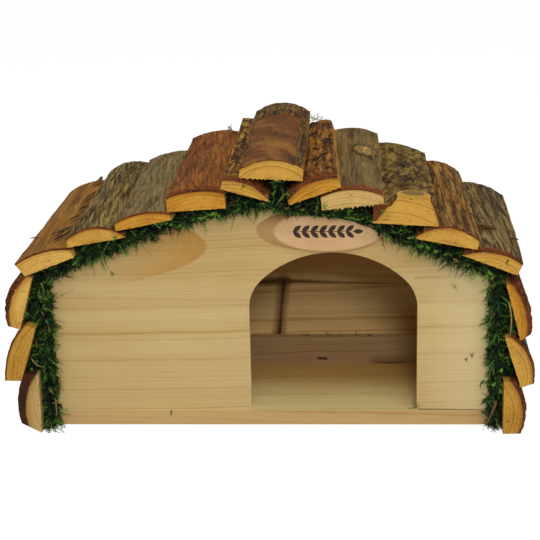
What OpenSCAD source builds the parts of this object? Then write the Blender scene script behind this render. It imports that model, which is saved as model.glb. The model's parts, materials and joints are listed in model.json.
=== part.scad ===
// Hedgehog house: a low pine box with a vaulted roof, clad with lapped half-round bark slabs.
// The front faces -Y, the base board stands on Z = 0, and X = 0 is the middle of the house.

/* [Box] */
// Width over the two side walls
body_w = 431; // [418:1:446]
// Depth from the front gable's face to the back gable's face
body_d = 220; // [190:1:260]
// Thickness of the gables, side walls and roof boards
board_t = 12; // [10:0.5:14]
// Thickness of the base board
base_t = 15; // [12:0.5:20]

/* [Vault] */
// Height of the roof boards' outer edge over the side walls
eave_z = 158; // [154:1:162]
// Distance of the knee between lower and upper roof boards from the middle
knee_x = 80; // [72:1:88]
// Height of the knee
knee_z = 210; // [206:1:214]
// Height of the roof boards at the ridge
ridge_z = 225; // [221:1:229]

/* [Doorway] */
// Middle of the doorway, right of the middle of the house
door_x = 59; // [40:1:80]
// Width of the doorway
door_w = 156; // [120:1:170]
// Height of the straight jambs above the floor
door_jamb_h = 101; // [80:1:105]
// Rise of the arch above the jambs
door_rise = 54; // [46:1:58]
// Radius of the arch where it leaves the jambs
door_spring_r = 38; // [30:1:44]

/* [Bedding board] */
// Height of the board that keeps the bedding back
bed_h = 28; // [20:1:45]
// Thickness of that board
bed_t = 12; // [8:1:18]
// Distance of its face behind the front gable's face
bed_set_back = 124; // [100:1:150]

/* [Name plate] */
// Middle of the plate's front face, right of the middle of the house
plate_x = 55; // [45:1:65]
// Height of the middle of the plate
plate_z = 191.5; // [190:0.5:194]
// Thickness of the slice
plate_t = 6; // [4:0.5:9]
// Radius of the branch that the plate is sliced from
branch_r = 19; // [15:0.5:20]
// Angle between the branch and the cut
branch_cut = 22; // [20:1:28]

/* [Left wall slabs, from the ground up] */
// Height of each slab's upper edge
left_wall_top = [60, 105, 154]; // [50:1:160]
// Width of the lowest slab
left_ground_w = 58; // [52:1:60]
// How far each slab above it laps over the one below
left_wall_lap = [9, 2.5]; // [2:0.5:12]
// Thickness at the crown of the bark
left_wall_crown = [20.5, 19, 19]; // [17:0.5:23]
// Thickness at the upper edge
left_wall_upper = [13, 12, 11]; // [8:0.5:15]
// Thickness at the lower edge
left_wall_lower = [19, 15, 12]; // [8:0.5:20]
// How far the lower edge leans out for each millimetre of its thickness
left_wall_lean = [-0.5, 0.3, 0]; // [-0.6:0.05:0.4]

/* [Left roof slabs, from the eave to the ridge] */
// Distance of the eave slab's upper edge inside the wall's face
left_eave_in = 39.5; // [36:0.5:43]
// Width of the eave slab
left_eave_w = 49; // [46:1:54]
// Distance of the other slabs' upper edges from the middle, the last one past it
left_roof_x = [128, 84, 36, -2]; // [-4:1:132]
// How far each of them laps over the one below
left_roof_lap = [2.4, 5.7, 4, 5.5]; // [2:0.1:8]
// Thickness at the crown of the bark
left_roof_crown = [17, 15, 12.5, 20, 14]; // [11:0.5:22]
// Thickness at the upper edge
left_roof_upper = [10, 3, 6, 17, 8]; // [2:0.5:18]
// Thickness at the lower edge
left_roof_lower = [14, 8, 8, 14, 11]; // [6:0.5:16]
// How far the lower edge leans out for each millimetre of its thickness
left_roof_lean = [0.3, 0, 0, 0, 0]; // [-0.3:0.05:0.4]

/* [Right wall slabs, from the ground up] */
// Height of each slab's upper edge
right_wall_top = [53, 94, 145]; // [46:1:156]
// Width of the lowest slab
right_ground_w = 52; // [49:1:53]
// How far each slab above it laps over the one below
right_wall_lap = [9, 4]; // [3:0.5:12]
// Thickness at the crown of the bark
right_wall_crown = [21, 18, 16]; // [14:0.5:23]
// Thickness at the upper edge
right_wall_upper = [11, 9, 12]; // [6:0.5:14]
// Thickness at the lower edge
right_wall_lower = [17, 13, 11]; // [8:0.5:18]
// How far the lower edge leans out for each millimetre of its thickness
right_wall_lean = [0, 0, -0.3]; // [-0.5:0.05:0.4]

/* [Right roof slabs, from the eave to the ridge] */
// Distance of the eave slab's upper edge inside the wall's face
right_eave_in = 40; // [36:0.5:43]
// Width of the eave slab
right_eave_w = 53; // [50:1:57]
// Distance of the other slabs' upper edges from the middle
right_roof_x = [134, 95, 50, 21]; // [16:1:138]
// How far each of them laps over the one below
right_roof_lap = [11.2, 17.1, 9.5, 19.5]; // [6:0.1:21]
// Thickness at the crown of the bark
right_roof_crown = [15.5, 17, 18, 18, 17]; // [11:0.5:22]
// Thickness at the upper edge
right_roof_upper = [4, 4, 16, 14, 10]; // [2:0.5:17]
// Thickness at the lower edge
right_roof_lower = [13, 9, 9, 8, 12]; // [5:0.5:14]
// How far the lower edge leans out for each millimetre of its thickness
right_roof_lean = [0.1, 0.1, 0, 0, 0]; // [-0.3:0.05:0.4]

/* [Ridge slab] */
// Middle of the slab, right of the middle of the house
cap_x = 5; // [2:0.5:8]
// Width
cap_w = 57; // [52:1:60]
// Thickness at the crown of the bark
cap_crown = 20; // [15:0.5:24]
// Thickness at the left edge
cap_left = 9; // [6:0.5:13]
// Thickness at the right edge
cap_right = 12; // [6:0.5:14]
// Thickness of the outer bark, which is peeled off in the middle of the front part
cap_bark_t = 2; // [1.6:0.1:2.5]
// Length of the outer bark left at the back
cap_bark_back = 57; // [40:1:80]
// Width of the outer bark left along the left edge
cap_bark_left = 3; // [2:0.5:6]
// Width of the outer bark left along the right edge
cap_bark_right = 8; // [5:0.5:12]

/* [Bark] */
// Ridges across each left slab's bark, from the ground to the ridge
left_ridges = [6, 5, 6, 3, 8, 3, 7, 6]; // [2:1:10]
// Depth of the furrows between them
left_furrow = [1.4, 1, 1.4, 0.5, 1.6, 0.5, 0.8, 1.2]; // [0.2:0.1:2]
// Ridges across each right slab's bark
right_ridges = [6, 5, 6, 7, 6, 5, 3, 6]; // [2:1:10]
// Depth of the furrows between them
right_furrow = [1.4, 1.2, 1.4, 1.6, 1.6, 1.4, 0.5, 1.2]; // [0.2:0.1:2]
// Ridges across the ridge slab's outer bark
cap_ridges = 6; // [2:1:10]
// Depth of the furrows between them
cap_furrow = 1; // [0.2:0.1:1.5]
// Places of the cracks along the third right roof slab
crack_y = [-66, -20, 30, 74]; // [-80:1:90]
// Angle between these cracks and the slab's length
crack_turn = 38; // [20:1:60]
// Width of a crack
crack_w = 2.5; // [1.5:0.1:4]
// Depth of a crack
crack_depth = 3; // [2:0.1:4]

/* [Slab ends] */
// Overhang of the slabs past the front gable's face
slab_front = 24; // [20:0.5:30]
// Overhang of the slabs past the back gable's face
slab_back = 18; // [16:0.5:26]
// How far each left slab's front end stands out of line, from the ground to the ridge
left_front_stagger = [1, -1, 0, 0, -1, 1, -1, 1]; // [-3:0.5:3]
// How far each right slab's front end stands out of line
right_front_stagger = [1, 0, -1, 0, 1, 1, -1, 0]; // [-3:0.5:3]
// How far each left slab's back end stands out of line
left_back_stagger = [-2, 2, -3, 0, 6, -4, -6, 8]; // [-8:0.5:8]
// How far each right slab's back end stands out of line
right_back_stagger = [2, -3, 3, -5, 1, -4, 4, -2]; // [-8:0.5:8]

/* [Branch stub on the third right roof slab] */
// Distance of the stub's middle from the slab's upper edge
stub_u = 35; // [32:0.5:37]
// Distance of the stub's middle behind the slab's front end
stub_in = 5; // [3:0.5:12]
// Height of the sawn stub above the slab's sawn face
stub_h = 27; // [22:0.5:30]
// Radius of the stub where it grows out of the slab
stub_root_r = 30; // [26:0.5:32]
// Radius of the sawn end
stub_top_r = 15; // [12:0.5:17]

/* [Moss] */
// Width of the packing on the side walls and the lower roof boards
moss_w = 12; // [9:0.5:16]
// Width of the packing on the upper roof boards
moss_top_w = 8; // [7:0.5:12]
// How far the packing stands out from the gable
moss_out = 19; // [12:0.5:20]
// Length of one tuft along the packing
moss_tuft = 17; // [12:1:30]
// Depth of the hollows between tufts
moss_hollow = 2.5; // [1:0.25:3.5]

/* [Nails] */
// Radius of the nails
nail_r = 1.2; // [0.8:0.1:1.6]
// Radius of the nail heads
head_r = 2.4; // [2:0.1:3]
// Thickness of the nail heads
head_t = 1; // [0.6:0.1:1.5]
// Length of the nails that hold the boards together
board_nail_l = 32; // [25:1:38]
// Depth of a slab's nail heads below its bark
nail_sink = 2; // [1:0.5:3]
// Depth that a slab's nails bite into the boards
slab_bite = 8; // [5:0.5:9]
// Depth that the ridge slab's nails reach below its sawn face
cap_reach = 11; // [8:0.5:12]
// Distance of the ridge slab's nails from its edges
cap_nail_in = 9.5; // [8:0.5:11]
// Distance of the slabs' nails from the gables' faces
slab_nail_in = 38; // [30:1:60]
// Distance of the ridge slab's nails from the gables' faces
cap_nail_back = 52; // [48:1:70]

/* [Fits] */
// Gap left where a slab, the moss or a loose board rests on what carries it
seat_gap = 0.2; // [0.1:0.05:0.3]

/* [Hidden] */
COURSES_WALL = 3;
COURSES_ROOF = 5;
COURSES = COURSES_WALL + COURSES_ROOF;
STUB_COURSE = 5;

function slab_name(side, i) = i < COURSES_WALL
    ? str(side, "_wall_slab_", i + 1)
    : str(side, "_roof_slab_", i - COURSES_WALL + 1);

PINE = "#dcc08a";
BASE_PINE = "#d8b67c";
BARK = "#6f4d34";
PLATE_WOOD = "#dfbd98";
MOSS = "#2f5a24";
STEEL = "#a5a39c";
SMOOTH = 128;
// Overrun of a cutting shape past the face that it cuts
OVER = 1;
// Nails along each joint: the front gable beside the doorway, the back gable, a wall, the bedding board
// and the two roof boards of a side
LEFT_NAILS = 2;
RIGHT_NAILS = 1;
BACK_NAILS = 3;
SIDE_NAILS = 2;
BED_NAILS = 2;
LOWER_ROOF_NAILS = 2;
UPPER_ROOF_NAILS = 1;

function mix(a, b, t) = a + (b - a) * t;

front_y = -body_d / 2;
back_y = body_d / 2;
half_w = body_w / 2;
gable_half = half_w - board_t;
gable_mid_y = body_d / 2 - board_t / 2;
slab_nail_y = body_d / 2 - slab_nail_in;
cap_nail_y = body_d / 2 - cap_nail_back;

// Roof line of the right-hand half: points are [outwards, up]
eave = [half_w, eave_z];
knee = [knee_x, knee_z];
ridge = [0, ridge_z];
lower_pitch = atan2(knee_z - eave_z, half_w - knee_x);
upper_pitch = atan2(ridge_z - knee_z, knee_x);
lower_normal = [sin(lower_pitch), cos(lower_pitch)];
upper_normal = [sin(upper_pitch), cos(upper_pitch)];
wall_normal = [1, 0];

// Meeting point of two lines that lie a distance inside the lines through a corner
function inside_corner(corner, n1, n2, inset) = corner - inset * (n1 + n2) / (1 + n1 * n2);

knee_in = inside_corner(knee, lower_normal, upper_normal, board_t);
wall_top_in = inside_corner(eave, wall_normal, lower_normal, board_t);
eave_in = [half_w, eave_z - board_t / cos(lower_pitch)];
ridge_in = [0, ridge_z - board_t / cos(upper_pitch)];

function roof_z(x) = abs(x) < knee_x
    ? ridge_z - abs(x) * tan(upper_pitch)
    : knee_z - (abs(x) - knee_x) * tan(lower_pitch);

// Slabs. A slab's section has u from its upper edge to its lower edge along the sawn face,
// and v from the sawn face out to the bark. A laid slab is [foot, angle] and then its blank's sizes.
S_FOOT = 0;
S_ANGLE = 1;
S_W = 2;
S_CROWN = 3;
S_UPPER = 4;
S_LOWER = 5;
S_LEAN = 6;
S_RIDGES = 7;
S_FURROW = 8;
// Part of the width at which a slab is nailed
NAIL_U = 0.4;
// Flats that make up one ridge of the bark, and how unevenly the ridges lie
RIDGE_FLATS = 5;
RIDGE_SWAY = 0.35;

function along(s) = [cos(s[S_ANGLE]), sin(s[S_ANGLE])];
function outward(s) = [-sin(s[S_ANGLE]), cos(s[S_ANGLE])];
function upper_corner(s) = s[S_FOOT] + s[S_UPPER] * outward(s);

// Width over the bark, where the lower edge leans in or out
function bark_w(s) = s[S_W] + s[S_LEAN] * s[S_LOWER];

// Circle of the bark's crests through the upper edge, the crown and the lower edge: [u, v, radius]
function bark_circle(s) = let (
    w = bark_w(s),
    a = s[S_UPPER],
    b = s[S_CROWN],
    c = s[S_LOWER],
    v = (b * b - (a * a + c * c) / 2 - w * w / 4) / (2 * b - a - c),
    u = (w * w + c * c - a * a + 2 * (a - c) * v) / (2 * w)
) [u, v, norm([u, v - a])];

function crest_v(s, u) = let (c = bark_circle(s)) c[1] + sqrt(c[2] * c[2] - pow(u - c[0], 2));

// Depth of the furrows between ridges, which lie unevenly and end with a crest at both edges
function furrow_depth(s, u) = let (
    t = u / bark_w(s),
    ridges = s[S_RIDGES] * t + RIDGE_SWAY * sin(360 * t)
) s[S_FURROW] * (1 - cos(360 * ridges)) / 2;

function bark_v(s, u) = crest_v(s, u) - furrow_depth(s, u);

// Widths at which the bark's flats meet
function bark_steps(s) = let (
    flats = s[S_RIDGES] * RIDGE_FLATS
) [for (i = [0 : flats]) bark_w(s) * i / flats];

// Points along a laid slab's bark and along its crests, lifted by the seat gap
function over_slab(s, u, v) = s[S_FOOT] + u * along(s) + (v + seat_gap) * outward(s);
function bark_line(s) = [for (u = bark_steps(s)) over_slab(s, u, bark_v(s, u))];
function crest_line(s) = [for (u = bark_steps(s)) over_slab(s, u, crest_v(s, u))];

// Angle at which a slab hinged at its foot rests on the first of the points under it
function rest_angle(foot, w, points) = max([
    for (p = points)
        if (p[0] >= foot[0] && norm(p - foot) < w + OVER)
            atan2(p[1] - foot[1], p[0] - foot[0])
]);

function wall_foot(top) = [half_w + seat_gap, top];
function roof_foot(x) = [x, roof_z(x) + seat_gap];

// Widths of a row of slabs: the lowest one's own, then the way down to the next foot and the lap
function lapped_widths(lowest, feet, laps) = concat(
    [lowest],
    [for (i = [1 : len(laps)]) norm(feet[i] - feet[i - 1]) + laps[i - 1]]
);

// A course before it is laid: [foot, surface point below the foot, w, crown, upper, lower, lean]
function wall_blanks(top, lowest, laps, crown, upper, lower, lean) = let (
    feet = [for (z = top) wall_foot(z)],
    w = lapped_widths(lowest, feet, laps)
) [
    for (i = [0 : COURSES_WALL - 1])
        [feet[i], wall_foot(top[i] - OVER), w[i], crown[i], upper[i], lower[i], lean[i]]
];
function roof_blanks(feet_x, lowest, laps, crown, upper, lower, lean) = let (
    feet = [for (x = feet_x) roof_foot(x)],
    w = lapped_widths(lowest, feet, laps)
) [
    for (i = [0 : COURSES_ROOF - 1])
        [feet[i], roof_foot(feet_x[i] + OVER), w[i], crown[i], upper[i], lower[i], lean[i]]
];

roof_corners = [for (p = [ridge, knee, eave]) p + [0, seat_gap]];

// Lays the courses from the ground up, each on the boards at its foot and on the slab below it
function laid(blanks, ridges, furrow, i = 0, done = []) = i == len(blanks) ? done : let (
    b = blanks[i],
    below = i == 0 ? [] : bark_line(done[i - 1]),
    angle = rest_angle(b[0], b[2], concat([b[1]], below, roof_corners)),
    sizes = [for (k = [S_W : S_LEAN]) b[k]]
) laid(blanks, ridges, furrow, i + 1, concat(done, [concat([b[0], angle], sizes, [ridges[i], furrow[i]])]));

left_feet_x = concat([half_w - left_eave_in], left_roof_x);
right_feet_x = concat([half_w - right_eave_in], right_roof_x);
left_slabs = laid(concat(
    wall_blanks(
        left_wall_top, left_ground_w, left_wall_lap,
        left_wall_crown, left_wall_upper, left_wall_lower, left_wall_lean
    ),
    roof_blanks(
        left_feet_x, left_eave_w, left_roof_lap,
        left_roof_crown, left_roof_upper, left_roof_lower, left_roof_lean
    )
), left_ridges, left_furrow);
right_slabs = laid(concat(
    wall_blanks(
        right_wall_top, right_ground_w, right_wall_lap,
        right_wall_crown, right_wall_upper, right_wall_lower, right_wall_lean
    ),
    roof_blanks(
        right_feet_x, right_eave_w, right_roof_lap,
        right_roof_crown, right_roof_upper, right_roof_lower, right_roof_lean
    )
), right_ridges, right_furrow);
left_top_slab = left_slabs[COURSES - 1];
right_top_slab = right_slabs[COURSES - 1];

// The ridge slab lies in the trough between the two top slabs, on its lower corners
cap_left_x = cap_x - cap_w / 2;
cap_right_x = cap_x + cap_w / 2;
cap_left_z = lookup(-cap_left_x, crest_line(left_top_slab));
cap_right_z = lookup(cap_right_x, crest_line(right_top_slab));
cap_angle = atan2(cap_right_z - cap_left_z, cap_w);
CAP_LEAN = 0;
cap_sizes = [cap_w, cap_crown, cap_left, cap_right, CAP_LEAN, cap_ridges, cap_furrow];
cap = concat([[cap_left_x, cap_left_z], cap_angle], cap_sizes);

// Distance from a slab's sawn face down to the board under it, along the nail
function nail_gap(s, u) = let (
    q = s[S_FOOT] + u * along(s),
    on_wall = s[S_FOOT][0] > half_w,
    at = on_wall || q[0] > knee_x ? eave : ridge,
    n = on_wall ? wall_normal : q[0] > knee_x ? lower_normal : upper_normal
) ((q - at) * n) / (outward(s) * n);

// A laid slab's own frame: X along u, Y along the house, Z along v
module on_slab(s) {
    translate([s[S_FOOT][0], 0, s[S_FOOT][1]])
        rotate([0, -s[S_ANGLE], 0])
        children();
}

// A section drawn in the XZ plane, from the front y to the back y
module run(from_y, to_y) {
    translate([0, to_y, 0])
        rotate([90, 0, 0])
        linear_extrude(to_y - from_y)
        children();
}

module slab_section(s) {
    bark = [for (u = bark_steps(s)) [u, bark_v(s, u)]];
    polygon(concat([[0, 0]], bark, [[s[S_W], 0]]));
}

// Disc inside a slab's bark, a depth below its crests
module trunk(s, depth) {
    c = bark_circle(s);
    translate([c[0], c[1]])
        circle(c[2] - depth, $fn = SMOOTH);
}

// A nail in a slab's frame, with its head sunk below the bark and its point below the sawn face
module slab_nail(s, u, below, y, over = 0) {
    top = bark_v(s, u) - nail_sink;
    on_slab(s) translate([u, y, -below]) {
        cylinder(h = below + top, r = nail_r, $fn = SMOOTH);
        translate([0, 0, below + top - head_t])
            cylinder(h = head_t + over, r = head_r, $fn = SMOOTH);
    }
}

module side_slab_nails(s, over = 0) {
    u = NAIL_U * s[S_W];
    for (y = [-slab_nail_y, slab_nail_y])
        slab_nail(s, u, nail_gap(s, u) + slab_bite, y, over);
}

module cap_nails(over = 0) {
    for (u = [cap_nail_in, cap_w - cap_nail_in], y = [-cap_nail_y, cap_nail_y])
        slab_nail(cap, u, cap_reach, y, over);
}

module all_slab_nails() {
    for (i = [0 : COURSES - 1]) {
        mirror([1, 0, 0])
            side_slab_nails(left_slabs[i]);
        side_slab_nails(right_slabs[i]);
    }
    cap_nails();
}

module slab(s, from_y, to_y) {
    on_slab(s)
        run(from_y, to_y)
        slab_section(s);
}

// The sawn stub of a branch at a slab's front end, cut flush with that end
module branch_stub(s, from_y) {
    on_slab(s) intersection() {
        translate([stub_u, from_y + stub_in, 0])
            cylinder(h = stub_h, r1 = stub_root_r, r2 = stub_top_r, $fn = SMOOTH);
        translate([0, from_y, 0])
            cube([s[S_W], stub_in + stub_root_r, stub_h]);
    }
}

// Cracks that run slantwise round a slab's bark
module bark_cracks(s) {
    reach = s[S_W];
    on_slab(s) for (y = crack_y) intersection() {
        run(y - reach, y + reach) difference() {
            trunk(s, -OVER);
            trunk(s, crack_depth);
        }
        translate([s[S_W] / 2, y, s[S_CROWN] / 2])
            rotate([0, 0, crack_turn])
            cube([crack_w, 2 * reach, 2 * s[S_CROWN]], center = true);
    }
}

function slab_start(stagger) = front_y - slab_front - stagger;
function slab_end(stagger) = back_y + slab_back + stagger;

module left_slab(i) {
    s = left_slabs[i];
    color(BARK) difference() {
        mirror([1, 0, 0])
            slab(s, slab_start(left_front_stagger[i]), slab_end(left_back_stagger[i]));
        mirror([1, 0, 0])
            side_slab_nails(s, s[S_CROWN]);
        if (i == COURSES - 1)
            cap_nails();
    }
}

module right_slab(i) {
    s = right_slabs[i];
    from_y = slab_start(right_front_stagger[i]);
    color(BARK) difference() {
        union() {
            slab(s, from_y, slab_end(right_back_stagger[i]));
            if (i == STUB_COURSE)
                branch_stub(s, from_y);
        }
        if (i == STUB_COURSE)
            bark_cracks(s);
        side_slab_nails(s, s[S_CROWN]);
        if (i == COURSES - 1)
            cap_nails();
    }
}

// The field on the ridge slab where the outer bark is peeled off
module peeled_field() {
    on_slab(cap)
        run(slab_start(0) - OVER, slab_end(0) - cap_bark_back)
        difference() {
            translate([cap_bark_left, 0])
                square([cap_w - cap_bark_left - cap_bark_right, cap_crown + OVER]);
            trunk(cap, cap_bark_t);
        }
}

module ridge_slab() {
    color(BARK) difference() {
        slab(cap, slab_start(0), slab_end(0));
        peeled_field();
        cap_nails(cap_crown);
    }
}

module slab_nails() {
    color(STEEL)
        all_slab_nails();
}

// Boards. Nails stand evenly along an edge, each in the middle of its share of the length.
function spread(from, to, count) = [for (k = [1 : count]) mix(from, to, (k - 1 / 2) / count)];

module base_nail_set(over = 0) {
    door_left = door_x - door_w / 2;
    door_right = door_x + door_w / 2;
    front_x = concat(
        spread(-gable_half, door_left, LEFT_NAILS),
        spread(door_right, gable_half, RIGHT_NAILS)
    );
    wall_mid_x = half_w - board_t / 2;
    bed_y = front_y + bed_set_back + bed_t / 2;
    spots = concat(
        [for (x = front_x) [x, -gable_mid_y]],
        [for (x = spread(-gable_half, gable_half, BACK_NAILS)) [x, gable_mid_y]],
        [for (x = [-wall_mid_x, wall_mid_x], y = spread(front_y, back_y, SIDE_NAILS)) [x, y]],
        [for (x = spread(-gable_half, gable_half, BED_NAILS)) [x, bed_y]]
    );
    for (p = spots) translate([p[0], p[1], 0]) {
        cylinder(h = board_nail_l, r = nail_r, $fn = SMOOTH);
        translate([0, 0, -over])
            cylinder(h = head_t + over, r = head_r, $fn = SMOOTH);
    }
}

// A nail driven into a board from a point on its outer face, against the face's normal
module driven_nail(p, n, y, over = 0) {
    translate([p[0], y, p[1]])
        rotate([0, atan2(n[0], n[1]), 0]) {
        translate([0, 0, -board_nail_l])
            cylinder(h = board_nail_l, r = nail_r, $fn = SMOOTH);
        translate([0, 0, -head_t])
            cylinder(h = head_t + over, r = head_r, $fn = SMOOTH);
    }
}

module both_sides() {
    children();
    mirror([1, 0, 0])
        children();
}

module wall_nail_set(over = 0) {
    both_sides() for (z = spread(base_t, eave_in[1], SIDE_NAILS), y = [-gable_mid_y, gable_mid_y])
        driven_nail([half_w, z], wall_normal, y, over);
}

module roof_nail_set(over = 0) {
    both_sides() for (y = [-gable_mid_y, gable_mid_y]) {
        for (p = spread(knee, eave, LOWER_ROOF_NAILS))
            driven_nail(p, lower_normal, y, over);
        for (p = spread(ridge, knee, UPPER_ROOF_NAILS))
            driven_nail(p, upper_normal, y, over);
    }
}

module base_nails() {
    color(STEEL)
        base_nail_set();
}

module wall_nails() {
    color(STEEL)
        wall_nail_set();
}

module roof_board_nails() {
    color(STEEL)
        roof_nail_set();
}

module base_board() {
    color(BASE_PINE) difference() {
        translate([-half_w, front_y, 0])
            cube([body_w, body_d, base_t]);
        base_nail_set(OVER);
    }
}

module gable_outline() {
    right = [[gable_half, base_t], wall_top_in, knee_in, ridge_in];
    left = [for (i = [2 : -1 : 0]) [-right[i][0], right[i][1]]];
    polygon(concat(right, left));
}

// Arch of three arcs over straight jambs: small arcs leave the jambs, a large one closes the top
module doorway() {
    half = door_w / 2;
    side = half - door_spring_r;
    lift = door_rise - door_spring_r;
    drop = (side * side - lift * lift) / (2 * lift);
    top_r = drop + door_rise;
    spread = side * (drop + top_r) / drop;
    translate([door_x, base_t + door_jamb_h]) {
        translate([-half, -door_jamb_h - OVER])
            square([door_w, door_jamb_h + OVER]);
        for (x = [-side, side])
            translate([x, 0])
                circle(door_spring_r, $fn = SMOOTH);
        intersection() {
            translate([0, -drop])
                circle(top_r, $fn = SMOOTH);
            polygon([[0, -drop], [spread, top_r], [-spread, top_r]]);
        }
    }
}

module front_gable() {
    color(PINE) difference() {
        run(front_y, front_y + board_t)
            gable_outline();
        run(front_y - OVER, front_y + board_t + OVER)
            doorway();
        base_nail_set();
        wall_nail_set();
        roof_nail_set();
    }
}

module back_gable() {
    color(PINE) difference() {
        run(back_y - board_t, back_y)
            gable_outline();
        base_nail_set();
        wall_nail_set();
        roof_nail_set();
    }
}

module side_wall() {
    difference() {
        run(front_y, back_y)
            polygon([[gable_half, base_t], [half_w, base_t], eave_in, wall_top_in]);
        base_nail_set();
        wall_nail_set(OVER);
    }
}

module left_wall() {
    color(PINE) difference() {
        mirror([1, 0, 0])
            side_wall();
        all_slab_nails();
    }
}

module right_wall() {
    color(PINE) difference() {
        side_wall();
        all_slab_nails();
    }
}

module lower_roof_board() {
    difference() {
        run(front_y, back_y)
            polygon([eave, knee, knee_in, wall_top_in, eave_in]);
        roof_nail_set(OVER);
    }
}

module upper_roof_board() {
    difference() {
        run(front_y, back_y)
            polygon([knee, ridge, ridge_in, knee_in]);
        roof_nail_set(OVER);
    }
}

module left_lower_roof_board() {
    color(PINE) difference() {
        mirror([1, 0, 0])
            lower_roof_board();
        all_slab_nails();
    }
}

module left_upper_roof_board() {
    color(PINE) difference() {
        mirror([1, 0, 0])
            upper_roof_board();
        all_slab_nails();
    }
}

module right_upper_roof_board() {
    color(PINE) difference() {
        upper_roof_board();
        all_slab_nails();
    }
}

module right_lower_roof_board() {
    color(PINE) difference() {
        lower_roof_board();
        all_slab_nails();
    }
}

module bedding_board() {
    color(PINE) difference() {
        translate([-gable_half + seat_gap, front_y + bed_set_back, base_t])
            cube([2 * (gable_half - seat_gap), bed_t, bed_h]);
        base_nail_set();
    }
}

// A slice cut at a slant from a round branch, so that its faces are long ovals
module branch_slice(grow = 0) {
    length = (branch_r + grow) * 2 / sin(branch_cut) + plate_t * 2;
    intersection() {
        translate([plate_x, front_y - plate_t, plate_z])
            rotate([0, 0, -branch_cut])
            rotate([0, 90, 0])
            cylinder(h = length * 2, r = branch_r + grow, center = true, $fn = SMOOTH);
        translate([plate_x - length, front_y - plate_t - grow, plate_z - branch_r - grow])
            cube([2 * length, plate_t + grow, 2 * (branch_r + grow)]);
    }
}

module name_plate() {
    color(PLATE_WOOD)
        branch_slice();
}

// Moss. The packing is swept along the edge of the gable as a row of soft tufts.
MOSS_FOOT_Z = 2;
MOSS_END_X = 0.2;
MOSS_STEP = 8;
MOSS_SIDES = 6;
// Degrees that the packing's half-oval section turns through
MOSS_ARC = 180;
// How much deeper a hollow is in front than at the sides
HOLLOW_OUT = 2;
// Part of the packing's depth that the tufts under the slabs have
WEDGE_OUT = 0.6;
// Stretches of the packing: the side wall, the lower roof board and the upper roof board
SIDE_STRETCHES = [0];
ROOF_STRETCHES = [1, 2];

// Middle of the packing, a little inside the outer line of the boards
moss_side_in = moss_w / 2 + seat_gap;
moss_top_in = moss_top_w / 2 + seat_gap;
moss_path = [
    [half_w - moss_side_in, MOSS_FOOT_Z],
    inside_corner(eave, wall_normal, lower_normal, moss_side_in),
    inside_corner(knee, lower_normal, upper_normal, (moss_side_in + moss_top_in) / 2),
    [MOSS_END_X, roof_z(MOSS_END_X) - moss_top_in / cos(upper_pitch)]
];
moss_widths = [moss_w, moss_w, (moss_w + moss_top_w) / 2, moss_top_w];
// Directions across the packing at the ends of its stretches: square at the foot, then mitred
moss_across = [
    wall_normal,
    (wall_normal + lower_normal) / (1 + wall_normal * lower_normal),
    (lower_normal + upper_normal) / (1 + lower_normal * upper_normal),
    [0, 1]
];

// Rings along one stretch of the path: [middle, half width, direction across, part of a tuft].
// They fan evenly from one mitre to the next, so that no ring crosses its neighbour.
function moss_stretch(i, last) = let (
    tufts = max(1, round(norm(moss_path[i + 1] - moss_path[i]) / moss_tuft)),
    steps = tufts * ceil(moss_tuft / MOSS_STEP)
) [
    for (k = [0 : last ? steps : steps - 1])
        let (t = k / steps)
        [
            mix(moss_path[i], moss_path[i + 1], t),
            mix(moss_widths[i], moss_widths[i + 1], t) / 2,
            mix(moss_across[i], moss_across[i + 1], t),
            t * tufts
        ]
];

// Half an oval that stands on the gable's face, drawn in between tufts
function moss_ring(r) = let (
    hollow = moss_hollow * (1 + cos(360 * r[3])) / 2
) [
    for (k = [0 : MOSS_SIDES])
        let (
            t = MOSS_ARC * k / MOSS_SIDES,
            p = r[0] + r[2] * (r[1] - hollow * sin(t)) * cos(t)
        )
        [p[0], front_y - (moss_out - HOLLOW_OUT * hollow) * sin(t), p[1]]
];

module moss_packing(stretches) {
    n = MOSS_SIDES + 1;
    rings = [for (i = stretches) each moss_stretch(i, i == stretches[len(stretches) - 1])];
    last = len(rings) - 1;
    points = [for (r = rings) each moss_ring(r)];
    walls = [
        for (i = [0 : last - 1], k = [0 : n - 1])
            let (a = i * n + k, b = i * n + (k + 1) % n)
            each [[a, b, b + n], [a, b + n, a + n]]
    ];
    start_cap = [for (k = [1 : n - 2]) [0, k + 1, k]];
    end_cap = [for (k = [1 : n - 2]) [last * n, last * n + k, last * n + k + 1]];
    polyhedron(points, concat(walls, start_cap, end_cap));
}

// Section of the wedge that a slab leaves over the boards, above the slab below it
module wedge_section(slabs, i) {
    s = slabs[i];
    below = slabs[i - 1];
    top = s[S_FOOT][0] < 0 ? roof_corners[0] : s[S_FOOT];
    foot = below[S_FOOT];
    on_wall = top[0] > half_w;
    clear = 2 * seat_gap;
    line = foot - top;
    opening = s[S_ANGLE] - atan2(line[1], line[0]);
    reach = top + line / norm(line) * 2 * clear / sin(opening);
    tip = on_wall ? reach + [clear, 0] : roof_foot(reach[0]) + [0, clear];
    bends = [for (p = roof_corners) if (tip[0] < p[0] && p[0] < foot[0]) p + [0, clear]];
    edge = on_wall ? [0, clear] : [-clear, 0];
    seat = foot + edge + (on_wall ? [clear, 0] : [0, clear]);
    corner = upper_corner(below) + edge - clear * outward(s);
    polygon(concat([tip], bends, [seat, corner]));
}

// Tufts pushed in under the slabs, from the first to the last of a run of courses
module moss_wedges(slabs, first, last) {
    for (i = [first : last])
        run(front_y - moss_out * WEDGE_OUT, front_y + board_t)
            wedge_section(slabs, i);
}

module moss_side(slabs) {
    moss_packing(SIDE_STRETCHES);
    moss_wedges(slabs, 1, COURSES_WALL - 1);
}

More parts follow.
